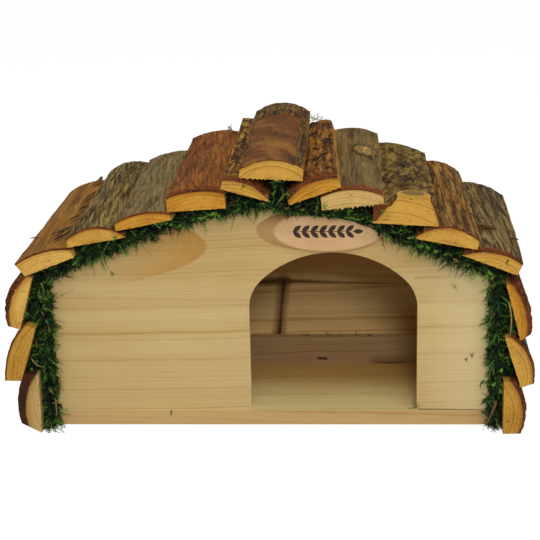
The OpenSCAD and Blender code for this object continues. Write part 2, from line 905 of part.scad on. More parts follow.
module moss_roof(slabs) {
    moss_packing(ROOF_STRETCHES);
    moss_wedges(slabs, COURSES_WALL + 1, COURSES - 1);
}

module moss_front_left_side() {
    color(MOSS)
        mirror([1, 0, 0])
        moss_side(left_slabs);
}

module moss_front_left_roof() {
    color(MOSS) difference() {
        mirror([1, 0, 0])
            moss_roof(left_slabs);
        branch_slice(seat_gap);
    }
}

module moss_front_right_roof() {
    color(MOSS) difference() {
        moss_roof(right_slabs);
        branch_slice(seat_gap);
    }
}

module moss_front_right_side() {
    color(MOSS)
        moss_side(right_slabs);
}

module moss_back_left_side() {
    color(MOSS)
        rotate([0, 0, 180])
        moss_side(left_slabs);
}

module moss_back_left_roof() {
    color(MOSS)
        rotate([0, 0, 180])
        moss_roof(left_slabs);
}

module moss_back_right_roof() {
    color(MOSS)
        mirror([0, 1, 0])
        moss_roof(right_slabs);
}

module moss_back_right_side() {
    color(MOSS)
        mirror([0, 1, 0])
        moss_side(right_slabs);
}

// Moss packed in the gap that the two top slabs leave under the ridge slab
module moss_ridge() {
    left_edge = -upper_corner(left_top_slab)[0] + seat_gap;
    right_edge = upper_corner(right_top_slab)[0] - seat_gap;
    function cap_under(x) = cap_left_z + (x - cap_left_x) * tan(cap_angle) - seat_gap;
    function roof_over(x) = roof_z(x) + seat_gap;
    color(MOSS)
        run(front_y - moss_out, back_y + moss_out)
        polygon([
            [left_edge, roof_over(left_edge)],
            [right_edge, roof_over(right_edge)],
            [right_edge, cap_under(right_edge)],
            [left_edge, cap_under(left_edge)]
        ]);
}

base_board();
front_gable();
back_gable();
left_wall();
right_wall();
left_lower_roof_board();
left_upper_roof_board();
right_upper_roof_board();
right_lower_roof_board();
bedding_board();
name_plate();
ridge_slab();
for (i = [0 : COURSES - 1]) {
    left_slab(i);
    right_slab(i);
}
moss_front_left_side();
moss_front_left_roof();
moss_front_right_roof();
moss_front_right_side();
moss_back_left_side();
moss_back_left_roof();
moss_back_right_roof();
moss_back_right_side();
moss_ridge();
base_nails();
wall_nails();
roof_board_nails();
slab_nails();
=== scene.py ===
"""Looks of the hedgehog house: a pine box with a vaulted roof under lapped bark slabs, packed with moss.

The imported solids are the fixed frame. Boards, plate and nails keep their solids and get finishes. Each bark
slab and each run of moss is a new surface that stands for its solid and is read from that solid's own faces.
Lengths are in metres. X runs to the right, Y to the back and Z up; the front faces -Y.
"""

import json
import logging
import math
from dataclasses import dataclass, field
from enum import Enum, IntEnum
from typing import Any

import bpy
import numpy as np
from mathutils import Matrix, Vector

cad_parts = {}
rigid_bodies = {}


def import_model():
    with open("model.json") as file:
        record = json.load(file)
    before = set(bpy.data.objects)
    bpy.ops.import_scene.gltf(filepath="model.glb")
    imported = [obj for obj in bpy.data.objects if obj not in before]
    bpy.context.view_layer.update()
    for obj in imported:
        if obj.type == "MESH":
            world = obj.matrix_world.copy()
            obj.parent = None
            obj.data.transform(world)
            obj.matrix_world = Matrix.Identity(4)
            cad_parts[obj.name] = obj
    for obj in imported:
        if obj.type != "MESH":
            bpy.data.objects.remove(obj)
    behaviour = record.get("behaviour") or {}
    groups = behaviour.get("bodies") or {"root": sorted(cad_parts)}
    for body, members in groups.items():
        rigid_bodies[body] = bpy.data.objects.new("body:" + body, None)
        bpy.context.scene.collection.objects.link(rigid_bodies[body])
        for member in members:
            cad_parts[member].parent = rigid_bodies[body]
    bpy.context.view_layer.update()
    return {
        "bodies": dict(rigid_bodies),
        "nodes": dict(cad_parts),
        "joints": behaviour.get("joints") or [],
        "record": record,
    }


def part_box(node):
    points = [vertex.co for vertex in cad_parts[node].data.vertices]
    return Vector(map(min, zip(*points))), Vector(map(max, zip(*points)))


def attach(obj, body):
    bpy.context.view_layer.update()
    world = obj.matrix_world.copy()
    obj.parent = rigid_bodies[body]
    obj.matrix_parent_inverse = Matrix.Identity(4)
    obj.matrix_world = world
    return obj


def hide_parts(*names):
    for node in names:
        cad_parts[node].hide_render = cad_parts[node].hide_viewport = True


Array = np.ndarray
Point2 = tuple[float, float]
Point3 = tuple[float, float, float]

MM = 0.001
BODY = "root"
# Points closer than TOUCH lie in one place, and points of a skin closer than WELD become one point
TOUCH = 1e-5
WELD = 1e-7
# A width too small to see, which keeps a real one above nothing
HAIR = 1e-6
# Decimals to which a solid's points are read
PLACES = 7
# Faces that meet at more than this angle keep a hard edge
HARD_EDGE = math.radians(48)
# Whole numbers that mix the bits of a lattice point's random number
MIX_X, MIX_Y, MIX_SEED, MIX_AGAIN = 374761393, 668265263, 974711, 1274126177
MASK = 0xFFFFFFFF
LOW_BITS = 0xFFFF
# Brings gradient noise to heights from about -1 to 1
NOISE_GAIN = 1.5
# Depth below the bark, in rinds, of wood that is nowhere near it
DEEP = 9.0
# The front, back, first and last edge of a slab's grid, and whether the sheet under each is turned over
RIM = ((np.s_[0], False), (np.s_[-1], True), (np.s_[:, 0], True), (np.s_[:, -1], False))
UP = (0.0, 0.0, 1.0)
# Turn, in degrees, that makes a camera look level
LEVEL = 90.0

log = logging.getLogger("hedgehog_house")


def linear(code: str) -> tuple[float, float, float, float]:
    """Turns a screen colour into the linear one that shaders take, by the sRGB curve.

    Args:
        code: the colour as a hex code, such as "#c8a060".

    Returns:
        Red, green, blue and an alpha of 1.
    """
    parts = [int(code[i:i + 2], 16) / 255 for i in (1, 3, 5)]
    red, green, blue = [p / 12.92 if p <= 0.04045 else ((p + 0.055) / 1.055) ** 2.4 for p in parts]
    return red, green, blue, 1.0


def unit(vectors: Array) -> Array:
    """Gives each vector of an array the length 1."""
    return vectors / np.maximum(np.linalg.norm(vectors, axis=-1, keepdims=True), 1e-12)


def ease(value: Array, low: float, high: float) -> Array:
    """Rises from 0 at low to 1 at high along 3t^2 - 2t^3."""
    t = np.clip((value - low) / (high - low), 0, 1)
    return t * t * (3 - 2 * t)


def lattice(ix: Array, iy: Array, seed: int) -> Array:
    """Random numbers from 0 to 1 at whole-number points, from the mixed bits of both counts and the seed."""
    mixed = (ix * MIX_X + iy * MIX_Y + seed * MIX_SEED) & MASK
    mixed = ((mixed ^ (mixed >> 13)) * MIX_AGAIN) & MASK
    return ((mixed ^ (mixed >> 16)) & LOW_BITS) / LOW_BITS


def noise(x: Array, y: Array, seed: int) -> Array:
    """Gradient noise: a random slope at each whole-number point, blended by 6t^5 - 15t^4 + 10t^3.

    Args:
        x, y: places, in units of the noise's own grain.
        seed: which noise.

    Returns:
        Heights from about -1 to 1.
    """
    x0, y0 = np.floor(x).astype(np.int64), np.floor(y).astype(np.int64)
    fx, fy = x - x0, y - y0
    ex, ey = [t * t * t * (t * (t * 6 - 15) + 10) for t in (fx, fy)]
    total = np.zeros(np.broadcast(x, y).shape)
    for dx in (0, 1):
        for dy in (0, 1):
            turn = 2 * math.pi * lattice(x0 + dx, y0 + dy, seed)
            slope = np.cos(turn) * (fx - dx) + np.sin(turn) * (fy - dy)
            total += slope * (ex if dx else 1 - ex) * (ey if dy else 1 - ey)
    return NOISE_GAIN * total


def fractal(x: Array, y: Array, seed: int, octaves: int = 4) -> Array:
    """Sums noises of which each is twice as fine and half as high as the one before."""
    return sum(noise(x * 2 ** k, y * 2 ** k, seed + k) / 2 ** k for k in range(octaves))


@dataclass
class Sheet:
    """A grid of points with the marks that finishes read at each of them.

    Args:
        points: the grid, as rows by columns by 3.
        marks: named numbers, each as rows by columns.
        slots: the material of each face, one number or rows - 1 by columns - 1.
        flipped: whether the faces turn the other way round.
    """

    points: Array
    marks: dict[str, Array]
    slots: Array | int = 0
    flipped: bool = False

    def faces(self, first: int) -> Array:
        """Joins the grid's neighbours into four-sided faces, counting its points from first."""
        rows, columns = self.points.shape[:2]
        index = first + np.arange(rows * columns).reshape(rows, columns)
        corners = [index[:-1, :-1], index[:-1, 1:], index[1:, 1:], index[1:, :-1]]
        return np.stack(corners[::-1] if self.flipped else corners, axis=-1).reshape(-1, 4)

    def face_slots(self) -> Array:
        """Names the material of each face."""
        rows, columns = self.points.shape[:2]
        return np.broadcast_to(self.slots, (rows - 1, columns - 1)).reshape(-1)


def make_piece(name: str, points: Array, faces: Array, marks: dict[str, Array], slots: Array,
               materials: list[bpy.types.Material], slot: str, node: str | None = None) -> bpy.types.Object:
    """Puts points and faces into a mesh that rides on the house.

    Args:
        name: the piece's name.
        points: every point, as count by 3.
        faces: point numbers, as count by 3 or 4.
        marks: named numbers, one for each point.
        slots: the material of each face.
        materials: the materials that slots counts.
        slot: the record's material slot; not used.
        node: the solid that the piece stands for, if any.

    Returns:
        The new object.
    """
    mesh = bpy.data.meshes.new(name)
    mesh.vertices.add(len(points))
    mesh.vertices.foreach_set("co", points.astype(np.float32).ravel())
    mesh.loops.add(faces.size)
    mesh.polygons.add(len(faces))
    mesh.polygons.foreach_set("loop_start", np.arange(0, faces.size, faces.shape[1], dtype=np.int32))
    mesh.polygons.foreach_set("vertices", faces.astype(np.int32).ravel())
    mesh.polygons.foreach_set("material_index", slots.astype(np.int32))
    mesh.update(calc_edges=True)
    for mark, values in marks.items():
        mesh.attributes.new(mark, "FLOAT", "POINT").data.foreach_set("value", values.astype(np.float32))
    for material in materials:
        mesh.materials.append(material)
    mesh.shade_smooth()
    piece = bpy.data.objects.new(name, mesh)
    bpy.context.scene.collection.objects.link(piece)
    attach(piece, BODY)
    if node:
        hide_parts(node)
    log.info("%s: %d faces", name, len(faces))
    return piece


def close_poles(faces: Array, slots: Array) -> tuple[Array, Array]:
    """Splits faces into triangles where a pole draws some together, and drops what shrinks to nothing there.

    Args:
        faces: point numbers, as count by 4.
        slots: the material of each face.

    Returns:
        The faces and their materials: unchanged where no face has a corner twice, and triangles otherwise.
    """
    ordered = np.sort(faces, axis=1)
    if not (ordered[:, 1:] == ordered[:, :-1]).any():
        return faces, slots
    halves = np.concatenate([faces[:, [0, 1, 2]], faces[:, [0, 2, 3]]])
    ordered = np.sort(halves, axis=1)
    whole = (ordered[:, 1:] != ordered[:, :-1]).all(axis=1)
    return halves[whole], np.concatenate([slots, slots])[whole]


def merge(points: Array, reach: float) -> tuple[Array, Array]:
    """Finds the points that lie in one place.

    Args:
        points: every point, as count by 3.
        reach: size of the cells in which points are one.

    Returns:
        The number of one point in each place, and the place of every point.
    """
    cells = np.round(points / reach).astype(np.int64)
    _, kept, places = np.unique(cells, axis=0, return_index=True, return_inverse=True)
    return kept, places.reshape(-1)


def weld_sheets(sheets: list[Sheet]) -> tuple[Array, Array, dict[str, Array], Array]:
    """Joins sheets whose edges meet into one closed skin, making points that coincide one point.

    Args:
        sheets: the sheets; where two meet, the earlier one's marks are kept.

    Returns:
        The points, the faces, the marks and the material of each face.
    """
    points = np.concatenate([s.points.reshape(-1, 3) for s in sheets])
    firsts = np.cumsum([0] + [s.points.shape[0] * s.points.shape[1] for s in sheets[:-1]])
    faces = np.concatenate([s.faces(first) for s, first in zip(sheets, firsts)])
    slots = np.concatenate([s.face_slots() for s in sheets])
    marks = {m: np.concatenate([s.marks[m].ravel() for s in sheets]) for m in sheets[0].marks}
    kept, places = merge(points, WELD)
    faces, slots = close_poles(places[faces], slots)
    return points[kept], faces, {m: v[kept] for m, v in marks.items()}, slots


def tube_grid(rows: int, columns: int) -> tuple[Array, Array]:
    """Gives shares from 0 to 1 along a closed tube and turns from 0 to 2 pi round it, as two grids."""
    return tuple(np.meshgrid(np.linspace(0, 1, rows), np.linspace(0, 2 * math.pi, columns), indexing="ij"))


def node_mesh(node: str, frame: dict[str, Any]) -> tuple[Array, Array]:
    """Reads a solid's mesh.

    Args:
        node: the solid.
        frame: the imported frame.

    Returns:
        Its points and its triangles.
    """
    mesh = frame["nodes"][node].data
    mesh.calc_loop_triangles()
    points = np.empty(len(mesh.vertices) * 3)
    mesh.vertices.foreach_get("co", points)
    triangles = np.empty(len(mesh.loop_triangles) * 3, np.int32)
    mesh.loop_triangles.foreach_get("vertices", triangles)
    return points.reshape(-1, 3), triangles.reshape(-1, 3)


class Value:
    """A number that varies over a surface: a node's output, with arithmetic that adds math nodes."""

    def __init__(self, graph: "Graph", socket: bpy.types.NodeSocket) -> None:
        """Wraps an output socket of a graph."""
        self.graph = graph
        self.socket = socket

    def math(self, operation: str, *others: "Value | float") -> "Value":
        """Adds one math node.

        Args:
            operation: its kind.
            others: what it takes after this value.

        Returns:
            Its result.
        """
        node = self.graph.node("Math")
        node.operation = operation
        for place, item in zip(node.inputs, (self, *others)):
            self.graph.feed(place, item)
        return Value(self.graph, node.outputs[0])

    def __add__(self, other: "Value | float") -> "Value":
        """Adds."""
        return self.math("ADD", other)

    def __sub__(self, other: "Value | float") -> "Value":
        """Subtracts."""
        return self.math("SUBTRACT", other)

    def __mul__(self, other: "Value | float") -> "Value":
        """Multiplies."""
        return self.math("MULTIPLY", other)

    def __truediv__(self, other: "Value | float") -> "Value":
        """Divides."""
        return self.math("DIVIDE", other)

    def __pow__(self, other: float) -> "Value":
        """Raises to a power."""
        return self.math("POWER", other)

    def fract(self) -> "Value":
        """Keeps what is past the whole number."""
        return self.math("FRACT")

    def size(self) -> "Value":
        """Drops the sign."""
        return self.math("ABSOLUTE")

    def apart(self, other: "Value") -> "Value":
        """Length of the way whose two square-on legs are this value and another: sqrt(a^2 + b^2)."""
        return (self * self + other * other).math("SQRT")

    def swing(self, width: float) -> "Value":
        """Spreads a noise from 0 to 1 evenly about 0, to a width."""
        return (self - 0.5) * width

    def ease(self, low: float, high: float) -> "Value":
        """Rises smoothly from 0 to 1, or falls where low is the larger.

        Args:
            low, high: where it is 0 and where it is 1.

        Returns:
            The share.
        """
        node = self.graph.node("MapRange")
        node.interpolation_type = "SMOOTHSTEP"
        reach = (low, high, 0.0, 1.0) if low < high else (high, low, 1.0, 0.0)
        for place, item in zip(node.inputs, (self, *reach)):
            self.graph.feed(place, item)
        return Value(self.graph, node.outputs[0])


# X, Y and Z of a point on a piece
Spot = tuple[Value, Value, Value]


class Graph:
    """The node graph of one material."""

    def __init__(self, name: str) -> None:
        """Starts an empty material."""
        self.material = bpy.data.materials.new(name)
        self.material.use_nodes = True
        self.tree = self.material.node_tree
        self.tree.nodes.clear()

    def node(self, kind: str) -> bpy.types.Node:
        """Adds a shader node of a kind."""
        return self.tree.nodes.new(f"ShaderNode{kind}")

    def feed(self, place: bpy.types.NodeSocket, item: Any) -> None:
        """Fills an input.

        Args:
            place: the input.
            item: a value to link, a hex code or a constant.
        """
        if isinstance(item, Value):
            self.tree.links.new(item.socket, place)
        elif isinstance(item, str):
            place.default_value = linear(item)
        else:
            place.default_value = item

    def place(self) -> Spot:
        """Gives the X, Y and Z of a point on the piece."""
        spot = self.node("TexCoord")
        parts = self.node("SeparateXYZ")
        self.tree.links.new(spot.outputs["Object"], parts.inputs[0])
        return tuple(Value(self, out) for out in parts.outputs)

    def mark(self, name: str) -> Value:
        """Reads a mark of the piece."""
        node = self.node("Attribute")
        node.attribute_name = name
        return Value(self, node.outputs["Fac"])

    def noise(self, *place: Value, detail: float = 3.0, rough: float = 0.55) -> Value:
        """Adds noise from 0 to 1 over three values, or along one.

        Args:
            place: three values for noise in space, or one for noise along a line, in grains.
            detail: how many finer grains are added.
            rough: how much these count.

        Returns:
            The noise.
        """
        node = self.node("TexNoise")
        node.inputs["Scale"].default_value = 1.0
        node.inputs["Detail"].default_value = detail
        node.inputs["Roughness"].default_value = rough
        if len(place) == 1:
            node.noise_dimensions = "1D"
            self.feed(node.inputs["W"], place[0])
        else:
            self.tree.links.new(self.spot(*place), node.inputs["Vector"])
        return Value(self, node.outputs[0])

    def spot(self, x: Value, y: Value, z: Value) -> bpy.types.NodeSocket:
        """Joins three values into a place."""
        node = self.node("CombineXYZ")
        for socket, item in zip(node.inputs, (x, y, z)):
            self.feed(socket, item)
        return node.outputs[0]

    def plates(self, x: Value, y: Value, z: Value) -> tuple[Value, Value]:
        """Splits space into cells round random points, one in each unit cube.

        Args:
            x, y, z: the place, in cells.

        Returns:
            The distance from the nearest wall between two cells, and a random number for each cell.
        """
        spot = self.spot(x, y, z)
        walls = self.node("TexVoronoi")
        walls.feature = "DISTANCE_TO_EDGE"
        tones = self.node("TexVoronoi")
        for node in (walls, tones):
            node.inputs["Scale"].default_value = 1.0
            self.tree.links.new(spot, node.inputs["Vector"])
        parts = self.node("SeparateColor")
        self.tree.links.new(tones.outputs["Color"], parts.inputs[0])
        return Value(self, walls.outputs["Distance"]), Value(self, parts.outputs[0])

    def mix(self, share: Value, first: "Value | str", second: "Value | str") -> Value:
        """Blends two colours.

        Args:
            share: how much of the second, from 0 to 1.
            first, second: the colours, as hex codes or values.

        Returns:
            The blend.
        """
        node = self.node("Mix")
        node.data_type = "RGBA"
        for number, item in ((0, share), (6, first), (7, second)):
            self.feed(node.inputs[number], item)
        return Value(self, node.outputs[2])

    def surface(self, colour: Value, roughness: "Value | float", height: Value | None = None,
                depth: float = 0.0, **constants: float) -> bpy.types.Material:
        """Ends the graph in a shader.

        Args:
            colour: the base colour.
            roughness: the roughness.
            height: relief too fine for the mesh, from 0 to 1.
            depth: how deep that relief is.
            constants: other inputs of the shader, with _ for a space.

        Returns:
            The finished material.
        """
        shader = self.node("BsdfPrincipled")
        self.feed(shader.inputs["Base Color"], colour)
        self.feed(shader.inputs["Roughness"], roughness)
        for name, number in constants.items():
            shader.inputs[name.replace("_", " ")].default_value = number
        if height is not None:
            bump = self.node("Bump")
            bump.inputs["Distance"].default_value = depth
            self.feed(bump.inputs["Height"], height)
            self.tree.links.new(bump.outputs[0], shader.inputs["Normal"])
        end = self.node("OutputMaterial")
        self.tree.links.new(shader.outputs[0], end.inputs[0])
        return self.material


class Grain(Enum):
    """The way that a board's fibres run."""

    ALONG_X = (0, 1, 2)
    ALONG_Y = (1, 0, 2)


@dataclass(frozen=True)
class Streak:
    """A mark in a board, such as a pith line or a knot cut lengthwise; broad pale and dark ones are painted
    light and painted shade.

    Args:
        start, end: its ends on the face, as X and Z.
        core: half the width of its middle.
        halo_width: half the width of the halo round the middle.
        strength: how plain it is, from 0 to 1.
        tone, halo: colours of the middle and of the halo round it.
        taper: share of its width that it loses towards its end.
        fray: how far its edge strays along the fibres, in halo widths.
    """

    start: Point2
    end: Point2
    core: float
    halo_width: float
    strength: float = 1.0
    tone: str = "#1d0e04"
    halo: str = "#6e4a22"
    taper: float = 0.0
    fray: float = 0.4


@dataclass(frozen=True)
class Flame:
    """A tongue of darker wood where the saw ran level with the rings: (z - tip_z)^2 < opening * (tip_x - x).

    Args:
        tip: the end of the tongue, as X and Z.
        opening: how fast it widens.
        strength: how dark it is at the tip, from 0 to 1.
        fade: distance from the tip at which it is gone.
    """

    tip: Point2
    opening: float
    strength: float
    fade: float


@dataclass(frozen=True)
class PineFinish:
    """Planed softwood, with the rings of one log cut where the board lies in it.

    A point's ring is its distance from the pith, which lies along the grain. The distance drifts along the
    grain and wanders a little, so that rings run out on the face as they do in wood. The dark late wood is
    a noise along that distance, so that years are of uneven width.

    Args:
        name: the material's name.
        early, late: colours of the pale and the dark part of a ring.
        grain: the way the fibres run.
        pith: where the pith passes, across the grain.
        drift: how much further off the pith counts for each metre along the grain.
        years: rings in a metre.
        contrast: how far the dark part reaches the late colour.
        streaks: dark marks, and broad bands of painted light and painted shade.
        flames: tongues of darker wood.
        painted_lit_top: colours painted on the top face for the light that falls on it, at its front and
            further in, or none.
        top: height of that face.
        warm: colour of the tongues.
    """

    name: str
    early: str
    late: str
    grain: Grain
    pith: Point2
    drift: float = 0.02
    years: float = 360.0
    contrast: float = 0.3
    streaks: tuple[Streak, ...] = ()
    flames: tuple[Flame, ...] = ()
    painted_lit_top: tuple[str, str] | None = None
    top: float = 15 * MM
    warm: str = "#bb8634"

    def make(self) -> bpy.types.Material:
        """Builds the material: the rings, with tongues, painted light on the top face and marks over them."""
        graph = Graph(self.name)
        spot = graph.place()
        # Rings
        along, across, up = [spot[axis] for axis in self.grain.value]
        stray = graph.noise(along * 6.0, across * 14.0, up * 14.0, detail=2.0)
        reach = (across - self.pith[0]).apart(up - self.pith[1]) + along * self.drift + stray * (7 * MM)
        lines = graph.noise(reach * self.years, detail=2.0, rough=0.65)
        fine = graph.noise(reach * (3.3 * self.years) + 3.0, detail=1.0)
        bands = graph.noise(reach * (0.2 * self.years) + 7.0, detail=1.0)
        late = lines.ease(0.55, 0.67) * (bands.ease(0.38, 0.6) * 0.8 + 0.2)
        fibre = graph.noise(along * 25.0, across * 1300.0, up * 1300.0, detail=2.0)
        cloud = graph.noise(along * 7.0, across * 26.0, up * 26.0, detail=3.0)
        share = late * self.contrast + fine.swing(0.5) + fibre.swing(0.25)
        share = share + cloud.swing(0.5) + bands.swing(0.28) + 0.22
        colour = graph.mix(share.ease(-0.15, 1.0), self.early, self.late)
        # Tongues of darker wood
        for flame in self.flames:
            tip_x, tip_z = flame.tip
            left = spot[0] * -1.0 + tip_x
            inside = left - (spot[2] - tip_z) ** 2.0 / flame.opening + stray.swing(14 * MM)
            rings = graph.noise(inside * 90.0, detail=2.0).ease(0.35, 0.65)
            fill = inside.ease(-2.5 * MM, 2 * MM) * (rings * 0.15 + 0.85)
            glow = inside.ease(-60 * MM, 0.0) * rings * 0.12
            dark = (fill + glow) * left.ease(flame.fade, 0.0) * flame.strength
            colour = graph.mix(dark, colour, self.warm)
        # Painted light on the top face, paler towards the front where light falls in, with faint rings
        if self.painted_lit_top:
            pale = graph.mix((spot[1] + cloud.swing(0.05)).ease(-0.1, 0.01), *self.painted_lit_top)
            pale = graph.mix(share.ease(0.05, 0.6) * 0.38, pale, self.late)
            colour = graph.mix(spot[2].ease(self.top - 0.4 * MM, self.top - 0.1 * MM), colour, pale)
        # Marks, each a halo round a middle of its own tone; the broad ones are bands of painted light and
        # painted shade
        for streak in self.streaks:
            away = self.away(spot, streak) + stray.swing(4 * MM) + fibre.swing(streak.fray * streak.halo_width)
            ring = away.ease(streak.halo_width, streak.core) * streak.strength
            core = away.ease(streak.core, 0.3 * streak.core) * streak.strength
            colour = graph.mix(core, graph.mix(ring * 0.8, colour, streak.halo), streak.tone)
        return graph.surface(colour, 0.62, late * 0.4 + fibre * 0.6, 0.2 * MM, Specular_IOR_Level=0.3)

    @staticmethod
    def away(spot: Spot, streak: Streak) -> Value:
        """Works out the distance on the face from a streak's line, more where it tapers.

        The nearest point is start + t * (end - start), with t from 0 to 1.

        Args:
            spot: the place on the board.
            streak: the streak.

        Returns:
            The distance.
        """
        x, z = spot[0] - streak.start[0], spot[2] - streak.start[1]
        dx, dz = streak.end[0] - streak.start[0], streak.end[1] - streak.start[1]
        t = (x * dx + z * dz) / (dx * dx + dz * dz)
        t = t.math("MINIMUM", 1.0).math("MAXIMUM", 0.0)
        return (x - t * dx).apart(z - t * dz) / (t * -streak.taper + 1.0)


@dataclass(frozen=True)
class SawnFinish:
    """Sawn slab wood: rings round the trunk's pith, a fuzzy saw cut and the cut rind along its outer edge.

    It reads three marks: ring, the distance from the pith; under, the depth below the bark in rinds; and
    heart, where old dark wood shows.

    Args:
        name: the material's name.
        early, late: colours of the pale and the dark part of a ring.
        ring: width of a ring.
        rim, rim_light: colours of the rind.
        check: colour of short dark marks in the wood.
        speck: colour of pale specks in the rind.
        heart: colour of old wood.
    """

    name: str
    early: str
    late: str
    ring: float = 3.6 * MM
    rim: str = "#3e1c08"
    rim_light: str = "#7c4216"
    check: str = "#5b3412"
    speck: str = "#e2cb92"
    heart: str = "#80632f"

    def make(self) -> bpy.types.Material:
        """Builds the material."""
        graph = Graph(self.name)
        x, y, z = graph.place()
        ring, under = graph.mark("ring"), graph.mark("under")
        wander = graph.noise(x * 60.0, y * 20.0, z * 60.0, detail=2.0)
        count = ring / self.ring + wander * 1.2
        late = (count.fract() ** 2.2) * (graph.noise(ring * 160.0, detail=0.0).ease(0.3, 0.7) * 0.9 + 0.1)
        fuzz = graph.noise(x * 450.0, y * 200.0, z * 450.0, detail=4.0)
        blush = graph.noise(x * 40.0 + 3.0, y * 30.0, z * 40.0, detail=3.0)
        share = late * 0.75 + fuzz.swing(1.0) + blush.swing(1.3) + 0.02
        colour = graph.mix(share.ease(-0.2, 0.9), self.early, self.late)
        checks = graph.noise(x * 190.0, y * 60.0, z * 320.0, detail=1.0).ease(0.69, 0.74)
        colour = graph.mix(checks * 0.7, colour, self.check)
        edge = under + wander.swing(0.5) + fuzz.swing(0.25)
        rind = graph.mix((blush * 0.6 + fuzz * 0.6).ease(0.45, 0.8), self.rim, self.rim_light)
        specks = graph.noise(x * 480.0, y * 480.0, z * 480.0, detail=0.0).ease(0.8, 0.84)
        rind = graph.mix(specks * edge.ease(0.3, 0.6), rind, self.speck)
        colour = graph.mix((graph.mark("heart") + wander.swing(0.4)).ease(0.35, 0.65), colour, self.heart)
        stained = graph.mix(edge.ease(2.2, 1.0) * 0.75, colour, self.late)
        colour = graph.mix(edge.ease(1.18, 0.84), stained, rind)
        return graph.surface(colour, 0.8, fuzz * 0.7 + late * 0.3, 0.5 * MM, Specular_IOR_Level=0.2)


class Draw(IntEnum):
    """Which noise of a slab is drawn, as an offset to the slab's seed. Pits and drift share one."""

    WAVES = 0
    RIDGES = 10
    SWAY = 50
    PITS = 60
    DRIFT = 60
    FURROWS = 65
    FIRST_EDGE = 70
    LAST_EDGE = 80
    FRONT = 90
    BEVEL = 100
    PEEL = 110
    FRAY = 130
    KNOTS = 140
    CRACKS = 150


@dataclass(frozen=True)
class BarkGrain:
    """Relief of a kind of bark, in heights and in lengths across and along the slab.

    Args:
        plate, run: width and length of a plate of bark.
        split: how plainly the edges of the plates show, from 0 to 1.
        chunk: how plainly the bark breaks into blocks, from 0 to 1.
        slant: how far the plates drift across for each metre along.
        ridge: height of fine ridges.
        swell: height of broad waves.
        pit, pit_gap, pit_share: depth and spacing of pits, and the level of noise above which one opens.
        flakes: how many plates lie over one another between the lowest and the highest bark.
    """

    plate: float
    run: float
    split: float
    chunk: float = 0.0
    slant: float = 0.0
    ridge: float = 0.3 * MM
    swell: float = 0.4 * MM
    pit: float = 0.0
    pit_gap: float = 14 * MM
    pit_share: float = 0.45
    flakes: float = 7.0

    def relief(self, u: Array, y: Array, seed: int) -> tuple[Array, Array]:
        """Works out the bark's height: broad waves plus fine ridges, less pits.

        A ridge is 1 - 2|n| of a noise n that is stretched along the slab.

        Args:
            u, y: places across and along the slab.
            seed: which piece of bark.

        Returns:
            The height above the mean surface, and a painted shade from 0 in the hollows and pits to 1 on the
            crests.
        """
        sway = 2.5 * MM * fractal(u / (25 * MM), y / (45 * MM), seed + Draw.SWAY, 2)
        across = u + self.slant * y + sway
        waves = fractal(u / (28 * MM), y / (70 * MM), seed + Draw.WAVES, 3)
        ridges = 1 - 2 * np.abs(fractal(across / self.plate, y / self.run, seed + Draw.RIDGES, 3))
        hollows = fractal(u / self.pit_gap, y / (1.6 * self.pit_gap), seed + Draw.PITS, 3)
        pits = ease(hollows, self.pit_share, self.pit_share + 0.16) * (self.pit > 0)
        height = self.swell * waves + self.ridge * (ridges - 0.4) - self.pit * pits
        return height, np.clip(0.6 + 0.25 * (ridges - 0.4) + 0.15 * waves - 0.9 * pits, 0, 1)


